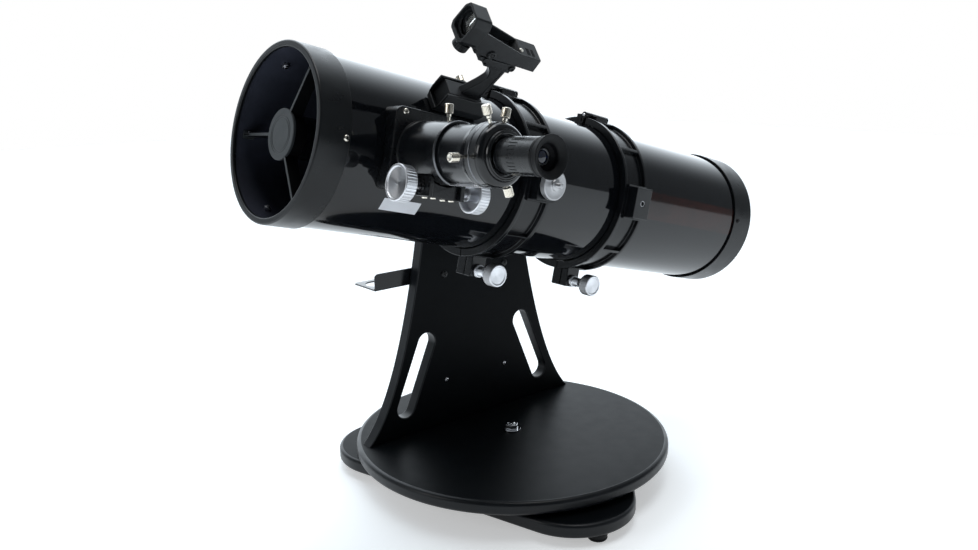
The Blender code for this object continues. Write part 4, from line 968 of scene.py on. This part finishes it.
def make_finder():
    shoe = Shape("finder_shoe", FINDER)
    right = [(0.0095, 0.0907), (0.014, 0.1025), (0.014, 0.119), (0.0112, 0.119), (0.0112, 0.0965)]
    shoe.slab([soften(mirrored(right), 0.0008, True)], -0.25, -0.19, "XZ", soft=0.0008)
    shoe.show(PLASTIC, "ota")
    seat = 0.0143
    made = Shape("shoe_screw", FINDER @ shift(0, -0.215, 0.111) @ turn(-90, "Y"))
    made.lathe(
        [(0, seat - 0.003), (0.0016, seat - 0.003), (0.0016, seat + 0.003), (0.0024, seat + 0.0034),
        (0.0024, seat + 0.0042), (0.004, seat + 0.0045), (0.0048, seat + 0.0052),
        (0.0048, seat + 0.0055, 0.0004), (0.0048, seat + 0.012, 0.0004), (0.0047, seat + 0.0123),
        (0.004, seat + 0.013), (0, seat + 0.0128)], 144, teeth=24, soft=0.0003)
    made.show(NICKEL, "shoe_screw")

    stalk = Shape("finder_stalk", FINDER)
    foot = mirrored([(0.0094, 0.0968), (0.0108, 0.099), (0.0108, 0.117), (0.0096, 0.1185)])
    stalk.slab([soften(foot, 0.0006, True)], -0.2455, -0.203, "XZ", soft=0.0008)
    front = bend((0.23, 0.1178), (0.218, 0.137), (0.216, 0.146), 12) + bend(
        (0.2162, 0.1475), (0.218, 0.158), (0.235, 0.1652), 8)
    blade = uptube(front + [(0.2035, 0.1652), (0.203, 0.164), (0.203, 0.1178)])
    stalk.slab([blade], -0.0046, 0.0046, "YZ", soft=0.001)
    stalk.cheeks(rectangle((-0.2062, 0.118), (-0.203, 0.165), 0.0008), 0.004, 0.0052, 0.0005)
    plate = [(0.2482, 0.1688), (0.249, 0.17), (0.2485, 0.1738), (0.211, 0.1748), (0.2075, 0.1756)]
    plate += arc((0.2055, 0.171), 0.0046, 90, 250, 10) + [(0.209, 0.1662), (0.234, 0.1648), (0.2375, 0.1678)]
    stalk.cheeks(uptube(plate), 0.0063, 0.0106, 0.0007)
    for side in (-1, 1):
        stalk.lathe(
            [(0, 0.0098), (0.0032, 0.0098), (0.0032, 0.012), (0.0016, 0.0122), (0.0014, 0.011), (0, 0.011)],
            32, shift(0, -0.2057, 0.1712) @ turn(90 * side, "Y"))
        stalk.lathe(
            [(0, 0.0098), (0.0019, 0.0098), (0.0019, 0.0116), (0.0008, 0.0118), (0, 0.011)], 24,
            shift(0, -0.2415, 0.1722) @ turn(90 * side, "Y"))
    stalk.slab([rectangle((-0.2378, 0.164), (-0.204, 0.1664), 0.0006)], -0.0104, 0.0104, "YZ", soft=0.0006)
    stalk.slab([rectangle((-0.2486, 0.169), (-0.218, 0.1735), 0.0006)], -0.0066, 0.0066, "YZ", soft=0.0005)
    stalk.show(PLASTIC, "finder_stalk")

    body = Shape("finder_body", FINDER)
    half, under, top, tail = 0.0114, 0.1757, 0.1918, 0.1797
    side_view = [
        (0.266, 0.1802), (0.26, 0.1802), (0.2595, under), (tail - 0.0008, under),
        (tail - 0.0012, under + 0.001), (tail + 0.0014, top - 0.001), (tail + 0.0024, top), (0.2085, top),
        (0.213, top - 0.0062), (0.266, top - 0.0062)]
    body.slab([soften(uptube(side_view), 0.0006, True)], -0.01, 0.01, "YZ", soft=0.0006)
    wall = [
        (0.2655, 0.1802), (0.2598, 0.1802), (0.2592, under), (tail, under), (tail + 0.0026, top),
        (0.2095, top), (0.2655, 0.2022)]
    body.cheeks(soften(uptube(wall), 0.0008, True), half - 0.0022, half, 0.0007)
    for side in (-1, 1):
        at = shift(0, -0.2404, 0.1803) @ turn(90 * side, "Y")
        body.lathe(
            [(0, half - 0.001), (0.0049, half - 0.001), (0.0049, half + 0.0014), (0.0041, half + 0.002),
            (0.003, half + 0.002), (0.0027, half + 0.0014), (0, half + 0.0014)], 48, at)
        body.block(
            (-0.0028, -0.0005, half + 0.0013), (0.0028, 0.0005, half + 0.0019), at @ turn(35, "Z"),
            soft=0.0001)
    for start, stop in ((0.1995, 0.195), (0.193, 0.189)):
        body.block((-0.001, -start, top - 0.0008), (0.0078, -stop, top + 0.0001), surface=1, soft=0.0001)
    body.lathe(
        [(0, top - 0.001), (0.0024, top - 0.001), (0.0024, top + 0.0004), (0.001, top + 0.0006),
        (0, top + 0.0003)], 32, shift(0.004, -0.2065, 0), surface=2)
    body.block((-0.0055, -0.214, 0.1672), (0.0055, -0.201, 0.1775), soft=0.001)
    hood = mirrored([(0.0105, 0.1805), (0.0145, 0.1855), (0.0145, 0.207), (0.0105, 0.214)])
    opening = mirrored([(0.0088, 0.185), (0.0122, 0.189), (0.0122, 0.2055), (0.0088, 0.2115)])
    body.slab(
        [soften(hood, 0.0018, True), soften(opening, 0.0045, True, 6)], -0.284, -0.265, "XZ", soft=0.0006)
    eye = (0, 0.1984)
    for radius, low, high in ((0.0118, -0.28, -0.2785), (0.0115, -0.2765, -0.269)):
        body.slab(
            [soften([(0.995 * x, eye[1] + 0.995 * (z - eye[1])) for x, z in opening], 0.0045, True, 6),
            circle(radius, 60, eye)], low, high, "XZ", soft=0.0003)
    body.show([PLASTIC, BLACK_AND_SHADE, NICKEL], "finder_body")
    Shape("finder_window", FINDER).slab(
        [circle(0.0114, 60, eye)], -0.2727, -0.2715, "XZ", soft=0.0002).show(COATED, "finder_body")
    dial = Shape("finder_dial", FINDER @ shift(0, -0.269, 0))
    dial.lathe(
        [(0, 0.1685), (0.007, 0.1685), (0.008, 0.169), (0.0085, 0.1697, 0.0006), (0.0085, 0.1766, 0.0006),
        (0.008, 0.1772), (0.0062, 0.1773), (0.0062, 0.1797), (0, 0.1797)], 144, teeth=24)
    dial.show(PLASTIC, "finder_dial")


# --- studio -------------------------------------------------------------------------------
def make_studio():
    mesh = bpy.data.meshes.new("floor")
    mesh.from_pydata([(-6, -6, 0), (6, -6, 0), (6, 6, 0), (-6, 6, 0)], [], [(0, 1, 2, 3)])
    pale = bpy.data.materials.new("pale_floor")
    pale.use_nodes = True
    fill(
        pale.node_tree.nodes["Principled BSDF"], Base_Color=(0.8, 0.85, 0.88, 1), Roughness=0.9,
        Emission_Color=(1, 1, 1, 1), Emission_Strength=0.44)
    mesh.materials.append(pale)
    put("floor", mesh)

    # a studio that is bright behind and to the left of the object, dim to its right and in front of its open
    # end, and white where the camera looks
    world = bpy.data.worlds.new("studio")
    bpy.context.scene.world = world
    world.use_nodes = True
    nodes, links = world.node_tree.nodes, world.node_tree.links
    walls, clear = nodes["Background"], nodes.new("ShaderNodeBackground")
    mix = nodes.new("ShaderNodeMixShader")
    walls.inputs["Color"].default_value = (0.88, 0.96, 1.03, 1)
    clear.inputs["Color"].default_value = (1, 1, 1, 1)
    split, product = nodes.new("ShaderNodeSeparateXYZ"), nodes.new("ShaderNodeMath")
    product.operation = "MULTIPLY"
    links.new(nodes.new("ShaderNodeTexCoord").outputs["Generated"], split.inputs["Vector"])
    fades = (("X", 0.35, -0.8, 0.22, 2.7), ("Y", -0.5, 0.1, 0.14, 1.0))
    for slot, (axis, first, last, dim, full) in enumerate(fades):
        fade = fill(nodes.new("ShaderNodeMapRange"), From_Min=first, From_Max=last, To_Min=dim, To_Max=full)
        fade.interpolation_type = "SMOOTHERSTEP"
        links.new(split.outputs[axis], fade.inputs["Value"])
        links.new(fade.outputs["Result"], product.inputs[slot])
    links.new(product.outputs["Value"], walls.inputs["Strength"])
    links.new(nodes.new("ShaderNodeLightPath").outputs["Is Camera Ray"], mix.inputs["Fac"])
    links.new(walls.outputs["Background"], mix.inputs[1])
    links.new(clear.outputs["Background"], mix.inputs[2])
    links.new(mix.outputs["Shader"], nodes["World Output"].inputs["Surface"])
    softboxes = (
        ("overhead", (0.1, 0.0, 2.5), (0, 0, 0), (1.2, 1.2), 18), ("front", (-0.5, -2.4, 1.3),
        (0, -0.3, 0.4), (0.9, 0.9), 8))
    for name, place, aim, size, power in softboxes:
        light = bpy.data.lights.new(name, "AREA")
        light.shape, light.size, light.size_y, light.energy = "RECTANGLE", size[0], size[1], power
        lamp = put(name, light)
        lamp.location = place
        lamp.rotation_euler = (Vector(aim) - Vector(place)).to_track_quat("-Z", "Y").to_euler()

    camera = put("camera", bpy.data.cameras.new("camera"))
    camera.data.lens, camera.data.sensor_width = 32.7, 36
    camera.data.shift_x, camera.data.shift_y = 0.00045, 0.0008
    camera.data.clip_start = 0.01
    yaw, pitch, roll = (radians(angle) for angle in (50.142, 13.57, -0.6115))
    ahead = Vector((-sin(yaw) * cos(pitch), cos(yaw) * cos(pitch), -sin(pitch)))
    right = Vector((cos(yaw), sin(yaw), 0))
    up = right.cross(ahead)
    side = right * cos(roll) + up * sin(roll)
    camera.matrix_world = axes(
        side, (-ahead).cross(side), -ahead, Vector((PIVOT.x + 0.8872, PIVOT.y - 0.781, 0.5623)))
    bpy.context.scene.camera = camera
    bpy.context.scene.view_settings.view_transform = "Standard"


make_ground()
make_turntable()
make_altitude()
RINGS = [make_ring(number, place) for number, place in enumerate(RING_PLACES, 1)]
make_piggyback(RINGS[0])
make_tube()
make_optics()
on_tube("brown_band", -0.085, -0.2915, -13.6, 9.1, BAND, "tube_paint")
on_tube("blank_label", 0.2455, 0.2915, -42.4, -32.6, LABEL, "nylon")
make_focuser()
make_finder()
make_studio()
